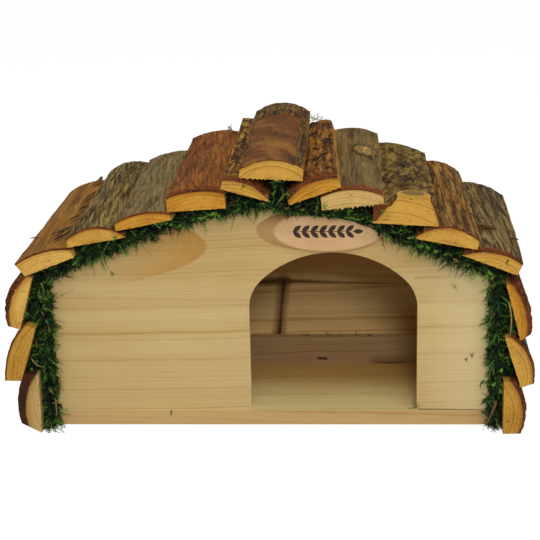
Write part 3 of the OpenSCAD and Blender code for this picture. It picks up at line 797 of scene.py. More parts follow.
@dataclass(frozen=True)
class BarkFinish:
    """A kind of bark: its relief and its colours.

    It reads three marks: shade, painted shade from hollow to crest; inner, where the outer bark is gone; and
    scar, where pale wood shows.

    Args:
        name: the material's name.
        crest, hollow: colours of the high and the low parts, between which the painted shade blends.
        tint, tint_share: colour and strength of the patches on it.
        grain: the relief.
        inner, inner_light, inner_dark: colours of the inner bark.
        inner_grain: grains in a metre of the inner bark, across and along.
        gap: colour of the cracks and of the painted shade under each plate's edge.
        scar, scar_dark: colours of the pale wood.
        speck: colour of the dots on the inner bark.
        fleck: colour of the short streaks on the outer bark.
    """

    name: str
    crest: str
    hollow: str
    tint: str
    tint_share: float
    grain: BarkGrain
    inner: str = "#773a14"
    inner_light: str = "#9c5824"
    inner_dark: str = "#42200a"
    inner_grain: Point2 = (300.0, 90.0)
    gap: str = "#1a0d04"
    scar: str = "#d8b066"
    scar_dark: str = "#8a5a26"
    speck: str = "#e6d3a0"
    fleck: str = "#c9a468"

    def make(self) -> bpy.types.Material:
        """Builds the material: plates that overlap, with painted shade in a dark gap under each edge, and
        fibres along them.

        A plate's height over its lower edge is the part of a long noise past a whole number, so that each
        plate rises to its upper edge and drops there to the next.
        """
        graph = Graph(self.name)
        x, y, z = graph.place()
        grain = self.grain
        bend = graph.noise(x * 45.0, y * 11.0, z * 45.0, detail=3.0) - 0.5
        side, level = x + y * grain.slant + bend * (11 * MM), z + bend * (8 * MM)
        cell = side / grain.plate, (y + bend * (24 * MM)) / grain.run, level / grain.plate
        wall, number = graph.plates(*cell)
        fibre = graph.noise(side * 430.0, y * 13.0, level * 430.0, detail=4.0, rough=0.65)
        patch = graph.noise(x * 42.0, y * 14.0, z * 42.0, detail=4.0, rough=0.6)
        grit = graph.noise(x * 700.0, y * 240.0, z * 700.0, detail=2.0)
        plate = graph.noise(side / grain.plate, y / grain.run, level / grain.plate, detail=3.0, rough=0.5)
        fine, short = 2.2 / grain.plate, 1.6 / grain.run
        sliver = graph.noise(side * fine, y * short, level * fine, detail=2.0)
        flake = (plate * grain.flakes + fibre.swing(0.6)).fract()
        dry = patch.ease(0.32, 0.48)
        # Real cracks along the slivers and between blocks, and painted shade in a dark line under the lip of
        # each plate
        crack_and_lip_shade = (flake.ease(0.15, 0.02) * dry + (sliver - 0.5).size().ease(0.045, 0.01) * 0.75) * grain.split
        block = (wall + fibre.swing(0.15)).ease(0.11, 0.02) * dry * grain.chunk
        crack_and_lip_shade = crack_and_lip_shade.math("MAXIMUM", block).math("MINIMUM", 1.0)
        # Painted shade: each plate darkens towards its lower edge, under the plate that overlaps it
        uneven = flake.swing(0.4 * grain.split) + number.swing(0.6 * grain.chunk)
        shade = graph.mark("shade") + fibre.swing(1.5) + grit.swing(0.4) + uneven + patch.swing(0.4)
        colour = graph.mix(shade.ease(0.12, 0.98), self.hollow, self.crest)
        tinted = (patch + plate.swing(0.4)).ease(0.46, 0.64) * self.tint_share
        colour = graph.mix(tinted, colour, self.tint)
        flecks = graph.noise(side * 330.0, y * 22.0 + 5.0, level * 330.0, detail=1.0).ease(0.66, 0.74)
        colour = graph.mix(flecks * 0.45, colour, self.fleck)
        colour = graph.mix(crack_and_lip_shade * 0.95, colour, self.gap)
        # Inner bark, of slanting streaks, dark patches and pale dots
        across, along = self.inner_grain
        streak = graph.noise((x + y * 0.5) * across, y * along, z * across, detail=4.0, rough=0.6)
        bare = graph.mix(streak.ease(0.45, 0.68), self.inner, self.inner_light)
        bare = graph.mix((patch * 0.6 + streak * 0.4).ease(0.46, 0.38), bare, self.inner_dark)
        dots = graph.noise(x * 330.0, y * 330.0, z * 330.0, detail=0.0).ease(0.84, 0.87)
        gone = (graph.mark("inner") + fibre.swing(0.35)).ease(0.3, 0.6)
        colour = graph.mix(gone, colour, graph.mix(dots, bare, self.speck))
        # Pale wood
        wood = graph.mix(fibre.ease(0.35, 0.7), self.scar, self.scar_dark)
        colour = graph.mix((graph.mark("scar") + fibre.swing(0.5)).ease(0.35, 0.7), colour, wood)
        height = fibre * 0.4 + grit * 0.12 + uneven * 0.8 - crack_and_lip_shade * 0.7
        return graph.surface(colour, 0.9, height, 1.6 * MM, Specular_IOR_Level=0.15)


@dataclass(frozen=True)
class MossFinish:
    """Dried moss: painted near black in its depth as shade, green on its sprigs, with straw among them.

    It reads the mark tint, which is 0 in the depth, 1 on the brightest sprigs and 2 on straw.

    Args:
        name: the material's name.
        deep, body, tip: colours of the depth, which is painted shade, of most sprigs and of the brightest,
            which are partly painted highlight.
        straw: colour of straw.
    """

    name: str = "moss_sprigs"
    deep: str = "#040802"
    body: str = "#234418"
    tip: str = "#7cae40"
    straw: str = "#8a7540"

    def make(self) -> bpy.types.Material:
        """Builds the material."""
        graph = Graph(self.name)
        x, y, z = graph.place()
        mark = graph.mark("tint")
        tint = mark + graph.noise(x * 70.0, y * 70.0, z * 70.0).swing(0.4)
        # Painted shade: the depth is near black
        colour = graph.mix(tint.ease(0.05, 0.5), self.deep, self.body)
        colour = graph.mix(tint.ease(0.5, 1.15), colour, self.tip)
        colour = graph.mix(mark.ease(1.55, 1.75), colour, self.straw)
        return graph.surface(colour, 0.75, Specular_IOR_Level=0.25)


@dataclass(frozen=True)
class PlateFinish:
    """A sanded slice of branch: rings round the branch's axis, which the slant cut draws out into long ovals.

    Args:
        middle: a point on the axis.
        slant: angle of the axis to the face, in radians.
        radius: of the branch.
        year: width of a ring.
        name: the material's name.
        early, late: colours of the pale and the dark part of a ring.
        rim: colour of the edge.
    """

    middle: Point3
    slant: float
    radius: float = 19 * MM
    year: float = 2.4 * MM
    name: str = "plate_slice"
    early: str = "#e0b884"
    late: str = "#c3915c"
    rim: str = "#b5854a"

    def make(self) -> bpy.types.Material:
        """Builds the material. The distance from the axis is |(p - middle) x direction|."""
        graph = Graph(self.name)
        x, y, z = graph.place()
        along_x, along_y = math.cos(self.slant), -math.sin(self.slant)
        flat = (x - self.middle[0]) * -along_y + (y - self.middle[1]) * along_x
        reach = flat.apart(z - self.middle[2]) + graph.noise(x * 40.0, y * 40.0, z * 40.0) * (1.2 * MM)
        late = (reach / self.year).fract() ** 2.0
        fibre = graph.noise(x * 160.0, y * 600.0, z * 900.0, detail=3.0)
        blush = graph.noise(x * 28.0, y * 30.0, z * 60.0, detail=2.0)
        share = late * 0.14 + fibre.swing(0.4) + blush.swing(0.9) + 0.3
        colour = graph.mix(share.ease(0.0, 1.0), self.early, self.late)
        colour = graph.mix(reach.ease(self.radius * 0.96, self.radius * 1.02) * 0.75, colour, self.rim)
        return graph.surface(colour, 0.5, fibre, 0.15 * MM, Specular_IOR_Level=0.4)


@dataclass(frozen=True)
class PlainFinish:
    """A small piece's finish: two colours in fine patches.

    Args:
        name: the material's name.
        first, second: the colours.
        grain: patches in a metre.
        roughness: the roughness.
        metal: 1 for metal.
    """

    name: str
    first: str
    second: str
    grain: float
    roughness: float = 0.7
    metal: float = 0.0

    def make(self) -> bpy.types.Material:
        """Builds the material."""
        graph = Graph(self.name)
        x, y, z = graph.place()
        patch = graph.noise(x * self.grain, y * self.grain, z * self.grain, detail=3.0)
        colour = graph.mix(patch.ease(0.3, 0.7), self.first, self.second)
        rough = patch * 0.2 + (self.roughness - 0.1)
        return graph.surface(colour, rough, patch, 0.3 * MM, Metallic=self.metal)


SMOOTH_TAN = BarkFinish("bark_smooth_tan", "#b58037", "#70461a", "#9c6d2e", 0.4,
                        BarkGrain(16 * MM, 300 * MM, 0.3, ridge=0.15 * MM))
FIBROUS_GREY = BarkFinish("bark_fibrous_grey", "#ab9352", "#563c14", "#7a6840", 0.4,
                          BarkGrain(9 * MM, 230 * MM, 1.0, slant=0.1, flakes=9.0))
SMOOTH_GREY = BarkFinish("bark_smooth_grey", "#978456", "#5a4726", "#94602c", 0.35,
                         BarkGrain(11 * MM, 240 * MM, 0.5, slant=0.1, ridge=0.2 * MM))
RED_FIBROUS = BarkFinish("bark_red_fibrous", "#a9672a", "#5e2c0a", "#86602c", 0.3,
                         BarkGrain(7 * MM, 150 * MM, 0.55, slant=0.1))
CRACKED_TAN = BarkFinish("bark_cracked_tan", "#cd9a40", "#402005", "#835c22", 0.4,
                         BarkGrain(10 * MM, 34 * MM, 0.6, 0.9))
PEELED = BarkFinish("bark_peeled", "#947034", "#361b06", "#7c622e", 0.4,
                    BarkGrain(10 * MM, 32 * MM, 0.6, 0.8, ridge=0.4 * MM),
                    inner="#74451f", inner_light="#a06c34", inner_dark="#46301f", inner_grain=(36.0, 18.0))
PITTED = BarkFinish("bark_pitted", "#c4822e", "#301203", "#83571f", 0.4,
                    BarkGrain(9 * MM, 45 * MM, 0.8, 0.4, pit=0.9 * MM, pit_gap=15 * MM, pit_share=0.26))
KNOTTED_GREY = BarkFinish("bark_knotted_grey", "#8e7240", "#46330f", "#6c5b3a", 0.5,
                          BarkGrain(12 * MM, 300 * MM, 0.35, ridge=0.15 * MM))
DEEP_CRACKED = BarkFinish("bark_deep_cracked", "#9d7e3e", "#4a3514", "#7a622a", 0.4,
                          BarkGrain(34 * MM, 120 * MM, 1.0, slant=-0.3, swell=0.6 * MM, flakes=5.0))
RIDGED_BROWN = BarkFinish("bark_ridged_brown", "#b4883f", "#583712", "#9a5f24", 0.5,
                          BarkGrain(12 * MM, 260 * MM, 0.95, flakes=8.0))
LONG_GREY = BarkFinish("bark_long_grey", "#a08752", "#52391a", "#7a6a44", 0.4,
                       BarkGrain(17 * MM, 260 * MM, 1.0, slant=0.08, flakes=8.0))
SIDE_DARK = BarkFinish("bark_side_dark", "#633a17", "#240f04", "#4d3217", 0.4,
                       BarkGrain(9 * MM, 120 * MM, 0.7), fleck="#6d4a24")

FRESH = SawnFinish("sawn_fresh", "#d8a748", "#af7628")
DULL = SawnFinish("sawn_dull", "#cb9a3c", "#a16c22")
GREYED = SawnFinish("sawn_greyed", "#d3b072", "#ab8342", ring=2.8 * MM, rim="#2c1506", rim_light="#50280e")
ORANGE = SawnFinish("sawn_orange", "#d69a34", "#a96a1a")
PALE = SawnFinish("sawn_pale", "#dab66e", "#b58843", ring=2.8 * MM)
STRAW = SawnFinish("sawn_straw", "#e6b75a", "#bd8633", ring=3.0 * MM)


class Course(Enum):
    """Where a slab lies, which says which edge of its sawn face comes first: the one nearer the ridge."""

    WALL = "wall"
    ROOF = "roof"
    RIDGE = "ridge"

    def first(self, ends: Array) -> int:
        """Picks the edge that comes first, out of two points given as X and Z."""
        x, z = ends[:, 0], ends[:, 1]
        far = {Course.WALL: -z, Course.ROOF: np.abs(x), Course.RIDGE: x}
        return int(np.argmin(far[self]))


@dataclass(frozen=True)
class Section:
    """A slab's section, read from its solid: u runs down the sawn face, v out to the bark.

    Args:
        corner: the first corner of the sawn face, as X and Z.
        along, outward: the directions of u and v.
        width: of the sawn face.
        line_u, line_v: points along the bark.
        pith: middle of the bark's circle, as u and v.
        radius: of the circle through the bark's crests.
        front, back: the ends, as Y.
    """

    corner: Array
    along: Array
    outward: Array
    width: float
    line_u: Array
    line_v: Array
    pith: Array
    radius: float
    front: float
    back: float

    @classmethod
    def read(cls, node: str, course: Course, frame: dict[str, Any]) -> "Section":
        """Reads the back end of a slab's solid. Its longest edge is the sawn face, and the rest is bark.

        Args:
            node: the solid.
            course: where the slab lies.
            frame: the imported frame.

        Returns:
            The section.
        """
        points = node_mesh(node, frame)[0]
        front, back = points[:, 1].min(), points[:, 1].max()
        ring = np.unique(np.round(points[points[:, 1] > back - TOUCH][:, [0, 2]], PLACES), axis=0)
        middle = ring.mean(axis=0)
        ring = ring[np.argsort(np.arctan2(ring[:, 1] - middle[1], ring[:, 0] - middle[0]))]
        longest = int(np.argmax(np.linalg.norm(np.roll(ring, -1, axis=0) - ring, axis=1)))
        ends = ring[[longest, (longest + 1) % len(ring)]]
        first = course.first(ends)
        corner, other = ends[first], ends[1 - first]
        width = float(np.linalg.norm(other - corner))
        along = (other - corner) / width
        outward = np.array([-along[1], along[0]])
        outward = outward if (middle - corner) @ outward > 0 else -outward
        u, v = (ring - corner) @ along, (ring - corner) @ outward
        bark = v > 10 * TOUCH
        u, v = u[bark], v[bark]
        fit = np.stack([2 * u, 2 * v, np.ones(len(u))], axis=1)
        pith = np.linalg.lstsq(fit, u ** 2 + v ** 2, rcond=None)[0][:2]
        radius = float(np.hypot(u - pith[0], v - pith[1]).max())
        order = np.argsort(u)
        return cls(corner, along, outward, width, u[order], v[order], pith, radius, front, back)

    def bark(self, u: Array) -> Array:
        """Height of the solid's bark over the sawn face."""
        return np.interp(u, self.line_u, self.line_v)

    def crest(self, u: Array, depth: float) -> Array:
        """Height of a circle that lies a depth below the bark's crests."""
        return self.pith[1] + np.sqrt(np.maximum((self.radius - depth) ** 2 - (u - self.pith[0]) ** 2, 0))

    def place(self, u: Array, v: Array, y: Array) -> Array:
        """Turns u, v and y into points of the house."""
        flat = self.corner + u[..., None] * self.along + v[..., None] * self.outward
        return np.stack([flat[..., 0], y, flat[..., 1]], axis=-1)


@dataclass(frozen=True)
class Knot:
    """A grown-over branch on a slab: a raised eye.

    Args:
        u, y: its middle, across from the first edge and along from the front.
        wide, long: half its size across and along.
        high: height of its rim.
    """

    u: float
    y: float
    wide: float
    long: float
    high: float


@dataclass
class Slab:
    """A half-round slab with bark, sawn on its flat face, its edges and its ends.

    Args:
        node: the solid that it stands for.
        course: where it lies.
        bark, sawn: its finishes.
        seed: which piece of wood.
        rind: thickness of the cut bark at the ends.
        thin: share of its thickness that it loses towards the back.
        last_in: how far its last edge draws in towards the back.
        bevel: how far the bark has broken back from the front end.
        ragged: length of the fibres that hang from the sawn lower edge in front.
        knots: grown-over branches.
        rows, columns: points of its bark along and across it.
        levels: points from the sawn face up to the bark.
    """

    node: str
    course: Course
    bark: BarkFinish
    sawn: SawnFinish
    seed: int
    rind: float = 2.0 * MM
    thin: float = 0.0
    last_in: float = 0.0
    bevel: float = 2.0 * MM
    ragged: float = 0.4 * MM
    knots: tuple[Knot, ...] = ()
    rows: int = 150
    columns: int = 64
    levels: int = 9

    def crown(self, section: Section, u: Array, y: Array, v: Array) -> tuple[Array, Array, Array]:
        """Shapes the bark before its relief, which a plain slab leaves as it is.

        Args:
            section: the solid's section.
            u, y, v: places across and along the slab, and the bark's height there.

        Returns:
            The height, where the bark is sawn off and where its outer part is gone.
        """
        return v, v * 0, v * 0

    def furrows(self, section: Section, s: Array, t: Array, y: Array, crest: Array) -> Array:
        """Works out how deep the solid's furrows lie below its crests, wandering, and shallow at the ends.

        Args:
            section: the solid's section.
            s, t, y: shares of the way along and across the slab, and places along the house.
            crest: height of the crests.

        Returns:
            The depths.
        """
        drift = 2.2 * MM * fractal(y / (60 * MM), t * 3, self.seed + Draw.DRIFT, 2) * np.sin(math.pi * t)
        bark = section.bark(t * section.line_u[-1] + drift)
        furrow = np.clip(crest - bark * (1 - self.thin * s), 0, None)
        uneven = 0.75 + 0.4 * fractal(t * 6, y / (30 * MM), self.seed + Draw.FURROWS, 2)
        furrow = furrow * (furrow / furrow.max()) ** 0.7 * uneven
        return furrow * (0.3 + 0.7 * ease(np.minimum(y - section.front, section.back - y), 0.0, 9 * MM))

    def eyes(self, section: Section, u: Array, y: Array) -> tuple[Array, Array, Array]:
        """Works out the knots: a rim of high * exp(-((away - 0.9) / 0.45)^2) round rings of pale wood.

        Args:
            section: the solid's section.
            u, y: places across and along the slab.

        Returns:
            What they add to the height and take from the shade, and where their wood shows.
        """
        rise, dark, scar = np.zeros_like(u), np.zeros_like(u), np.zeros_like(u)
        for knot in self.knots:
            away = np.hypot((u - knot.u) / knot.wide, (y - section.front - knot.y) / knot.long)
            away = away + 0.3 * fractal(u / (6 * MM), y / (14 * MM), self.seed + Draw.KNOTS, 3)
            rise += knot.high * np.exp(-((away - 0.9) / 0.45) ** 2)
            dark += 0.7 * np.exp(-((away - 1.3) / 0.2) ** 2)
            rings = 0.62 + 0.3 * np.sin(13 * away + 1)
            scar = np.maximum(scar, (1 - ease(away, 0.85, 1.1)) * rings)
        return rise, dark, scar

    def top(self, section: Section) -> tuple[Sheet, Array]:
        """Works out the bark: the solid's own line, moved out along its normal by the relief.

        Rows run from front to back, closer together in front, and columns from the first edge to the last.

        Args:
            section: the solid's section.

        Returns:
            The bark, and the places u of the sawn face's points under it.
        """
        rows, columns = np.linspace(0, 1, self.rows) ** 1.25, np.linspace(0, 1, self.columns)
        s, t = np.meshgrid(rows, columns, indexing="ij")
        y = section.front + s * (section.back - section.front)
        first, last = [0.8 * MM * fractal(y / (45 * MM), y * 0 + edge, self.seed + edge, 2)
                       for edge in (Draw.FIRST_EDGE, Draw.LAST_EDGE)]
        flat_u = first + t * (section.width + (last - self.last_in * s) - first)
        u = flat_u + t * (section.line_u[-1] - section.width)
        crest = section.crest(t * section.line_u[-1], 0.0) * (1 - self.thin * s)
        v, cut, bare = self.crown(section, u, y, crest - self.furrows(section, s, t, y, crest))
        height, shade = self.bark.grain.relief(u, y, self.seed)
        # Painted shade: the bark darkens the deeper it lies below the crests, in furrows and cracks
        shade = shade + 0.1 - 0.6 * np.clip((crest - v) / (1.5 * MM), 0, 1) * (1 - bare)
        broken = self.bevel * (1.2 + 0.9 * fractal(t * 9, s * 0 + 3, self.seed + Draw.BEVEL, 3))
        slope = 1 - ease(y - section.front, 0.0, HAIR + np.maximum(broken, 0.4 * MM))
        height = height * (1 - 0.75 * bare) - min(0.4 * self.bevel, 1.0 * MM) * slope
        rise, dark, scar = self.eyes(section, u, y)
        height = (height + rise) * (1 - cut)
        lean = unit(np.stack([u - section.pith[0], v - section.pith[1]], axis=-1))
        u, v = u + height * lean[..., 0], np.maximum(v + height * lean[..., 1], 0.6 * MM)
        chipped = fractal(u / (12 * MM), u * 0 + 5, self.seed + Draw.FRONT, 3)
        y = y + 0.4 * MM * chipped * (1 - ease(s, 0.0, 0.04))
        marks = self.marks(section, u, v, v * 0)
        marks.update(shade=shade - dark, inner=np.maximum(slope, bare), scar=scar)
        self.mark_cut(marks, u, y, cut)
        sawn = (cut[:-1, :-1] + cut[1:, 1:]) / 2 > 0.5
        return Sheet(section.place(u, v, y), marks, sawn.astype(int)), flat_u

    def mark_cut(self, marks: dict[str, Array], u: Array, y: Array, cut: Array) -> None:
        """Marks what is sawn away on the bark's side, which a plain slab has none of."""

    def marks(self, section: Section, u: Array, v: Array, under: Array) -> dict[str, Array]:
        """Gives the marks that the finishes read, of which ring is the distance from the pith.

        Args:
            section: the solid's section.
            u, v: places across the slab and out from its sawn face.
            under: depth below the bark, in rinds.

        Returns:
            The marks by name.
        """
        ring = np.hypot(u - section.pith[0], v - section.pith[1])
        blank = {mark: v * 0 for mark in ("inner", "scar", "heart")}
        return {"ring": ring, "under": under, "shade": v * 0 + 0.5, **blank}

    def depth_under(self, u: Array, height: Array, bark: Array, t: Array) -> Array:
        """Depth of a point on an end or an edge below the bark, in rinds, thicker ones near the ridge."""
        return (bark - height) / (self.rind * (1.2 - 0.5 * t))

    def build(self, frame: dict[str, Any], materials: dict[str, bpy.types.Material]) -> bpy.types.Object:
        """Builds the slab: the bark, the sawn face under it, and edges and ends that run straight between.

        Args:
            frame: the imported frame.
            materials: finished materials by name.

        Returns:
            The slab.
        """
        section = Section.read(self.node, self.course, frame)
        top, low_u = self.top(section)
        flat = top.points[..., [0, 2]] - section.corner
        u, v, y = flat @ section.along, flat @ section.outward, top.points[..., 1]
        fray = np.maximum(fractal(u / (2.2 * MM), u * 0 + 7, self.seed + Draw.FRAY, 3), 0) ** 1.5
        low = -self.ragged * 3 * fray * (1 - ease(y - section.front, 0.2 * MM, 1.8 * MM))
        below = self.marks(section, low_u, low, v * 0 + DEEP)
        sheets = [top, Sheet(section.place(low_u, low, y), below, 1, True)]
        across = np.linspace(0, 1, self.columns)
        level = np.linspace(0, 1, self.levels)[:, None]
        for edge, turned in RIM:
            height = low[edge] * (1 - level) + v[edge] * level
            side = low_u[edge] * (1 - level) + u[edge] * level
            t = across if len(u[edge]) == self.columns else u[edge] / u.max()
            under = self.depth_under(side, height, section.crest(side, 0.0), t)
            marks = self.marks(section, side, height, under)
            sheets.append(Sheet(section.place(side, height, height * 0 + y[edge]), marks, 1, turned))
        points, faces, marks, slots = weld_sheets(sheets)
        faces = faces[:, ::-1] if self.inside_out(points, faces) else faces
        used = [materials[self.bark.name], materials[self.sawn.name]]
        piece = make_piece(f"{self.node}_bark", points, faces, marks, slots, used, "bark_slab", self.node)
        piece.data.set_sharp_from_angle(angle=HARD_EDGE)
        return piece

    @staticmethod
    def inside_out(points: Array, faces: Array) -> bool:
        """Says whether a closed skin's faces look inwards, by the sign of its volume."""
        a, b, c, d = [points[faces[:, k]] for k in range(4)]
        volume = np.einsum("ij,ij->i", a, np.cross(b, c) + np.cross(c, d)).sum()
        return bool(volume < 0)


@dataclass
class PeeledSlab(Slab):
    """A slab whose outer bark is peeled off in one field.

    Args:
        peel: thickness of the outer bark.
        kept_first, kept_last, kept_back: outer bark left along the two edges and at the back.
    """

    peel: float = 1.6 * MM
    kept_first: float = 3.0 * MM
    kept_last: float = 8.0 * MM
    kept_back: float = 57.0 * MM

    def crown(self, section: Section, u: Array, y: Array, v: Array) -> tuple[Array, Array, Array]:
        """Lowers the field to the inner bark, with a wandering rim. Arguments and result are as in Slab."""
        rim = 2.2 * MM * fractal(u / (14 * MM), y / (22 * MM), self.seed + Draw.PEEL, 4)
        bare = ease(section.back - self.kept_back - y + 2 * rim, -1 * MM, 1 * MM)
        bare *= ease(u - self.kept_first + 0.5 * rim, -0.7 * MM, 0.7 * MM)
        bare *= ease(section.line_u[-1] - self.kept_last - u + rim, -0.7 * MM, 0.7 * MM)
        return v * (1 - bare) + section.crest(u, self.peel) * bare, v * 0, bare


@dataclass
class StubSlab(Slab):
    """A slab with slanting cracks, and with the sawn stub of a branch at its front end.

    The stub is a cone cut level, of height stub_high * (root - away) / (root - sawn_r) or at most stub_high.
    A crack lies where |(u - w / 2) cos a + (y - spot) sin a| is less than half its width.

    Args:
        stub_u, stub_y: the stub's middle, across from the first edge and along from the front end.
        stub_high: its height over the slab's sawn face.
        root, sawn_r: its radius at the sawn face and at its sawn end.
        flare_first, flare_last: half the width of the stub's wood at the slab's sawn face, to either side.
        flare_rind: thickness of the bark beside that wood.
        cracks: places of the cracks along the house.
        crack_turn: their angle to the slab's length.
        crack_wide, crack_deep: their size.
    """

    stub_u: float = 35 * MM
    stub_y: float = 5 * MM
    stub_high: float = 27 * MM
    root: float = 30 * MM
    sawn_r: float = 15 * MM
    flare_first: float = 33 * MM
    flare_last: float = 25 * MM
    flare_rind: float = 2.5 * MM
    cracks: tuple[float, ...] = (-66 * MM, -20 * MM, 30 * MM, 74 * MM)
    crack_turn: float = math.radians(38)
    crack_wide: float = 2.5 * MM
    crack_deep: float = 3.0 * MM

    def crown(self, section: Section, u: Array, y: Array, v: Array) -> tuple[Array, Array, Array]:
        """Opens the cracks, and raises the stub with its sawn end. Arguments and result are as in Slab."""
        wobble = 2.0 * MM * fractal(u / (16 * MM), y / (16 * MM), self.seed + Draw.CRACKS, 3)
        for spot in self.cracks:
            off = (u - section.width / 2) * math.cos(self.crack_turn) + (y - spot) * math.sin(self.crack_turn)
            open_here = 1 - ease(np.abs(off + wobble), 0.25 * self.crack_wide, 0.75 * self.crack_wide)
            v = v + (np.minimum(section.crest(u, self.crack_deep), v) - v) * open_here
        away = np.hypot(u - self.stub_u, y - section.front - self.stub_y)
        cone = self.stub_high * np.clip((self.root - away) / (self.root - self.sawn_r), 0, 1)
        return np.maximum(v, cone), 1 - ease(away, self.sawn_r - 0.2 * MM, self.sawn_r + 0.8 * MM), v * 0

    def mark_cut(self, marks: dict[str, Array], u: Array, y: Array, cut: Array) -> None:
        """Marks the stub's sawn end with rings round its own pith, a pale rim and a dark heart.

        Args:
            marks: the marks to change.
            u, y: places across and along the slab.
            cut: where it is sawn away.
        """
        away = np.hypot(u - self.stub_u, y - y.min() - self.stub_y)
        marks["ring"] = np.where(cut > 0, away, marks["ring"])
        marks["under"] = np.where(cut > 0, DEEP, marks["under"])
        deep = self.stub_y + self.sawn_r
        oval = np.hypot((u - self.stub_u) / (0.72 * self.sawn_r), (y - y.min() - 0.5 * deep) / (0.43 * deep))
        marks["heart"] = cut * (1 - ease(oval, 0.85, 1.1))

    def depth_under(self, u: Array, height: Array, bark: Array, t: Array) -> Array:
        """Works out the depth inside the stub's wood, which narrows from the sawn face to the stub's top.

        Arguments and result are as in Slab.
        """
        up = np.clip(height / self.stub_high, 0, 1)
        first = self.stub_u - self.flare_first * (1 - up) - self.sawn_r * up
        last = self.stub_u + self.flare_last * (1 - up) + self.sawn_r * up
        return 1.0 + np.minimum(u - first, last - u) / self.flare_rind


@dataclass(frozen=True)
class Splinter:
    """A loose splinter of bark.

    Args:
        root, tip: its ends.
        wide: half its width.
        bark: the bark that it broke from.
        lean: how far it is turned up from lying flat, in radians.
        fray: how ragged its sides are.
        thick: half its thickness.
        seed: which noise frays the first splinter.
    """

    root: Point3
    tip: Point3
    wide: float
    bark: BarkFinish
    lean: float = 0.0
    fray: float = 0.6
    thick: float = 0.6 * MM
    seed: int = 400

    def sheet(self, number: int) -> Sheet:
        """Builds the splinter as a closed lens with frayed sides.

        Its points are root + t (tip - root) + half cos(a) side + thick sin(pi t)^0.5 sin(a) other, where half
        is wide sin(pi t)^0.7, frayed by a noise along t.

        Args:
            number: which splinter, and its place among the piece's materials.

        Returns:
            The splinter's surface.
        """
        t, turn = tube_grid(20, 13)
        root, tip = np.array(self.root), np.array(self.tip)
        way = unit(tip - root)
        flat = unit(np.cross(way, UP))
        side = math.cos(self.lean) * flat + math.sin(self.lean) * np.cross(way, flat)
        other = np.cross(way, side)
        arch = np.clip(np.sin(math.pi * t), 0, 1) * (t < 1)
        ragged = 1 + self.fray * noise(7 * t, np.sign(np.cos(turn)) + 0.5, self.seed + number)
        half = self.wide * arch ** 0.7 * ragged
        points = root + t[..., None] * (tip - root) + (half * np.cos(turn))[..., None] * side
        points = points + (self.thick * arch ** 0.5 * np.sin(turn))[..., None] * other
        marks = {"shade": 0.45 + 0.3 * np.sin(turn), "inner": t * 0, "scar": t * 0}
        return Sheet(points, marks, number)


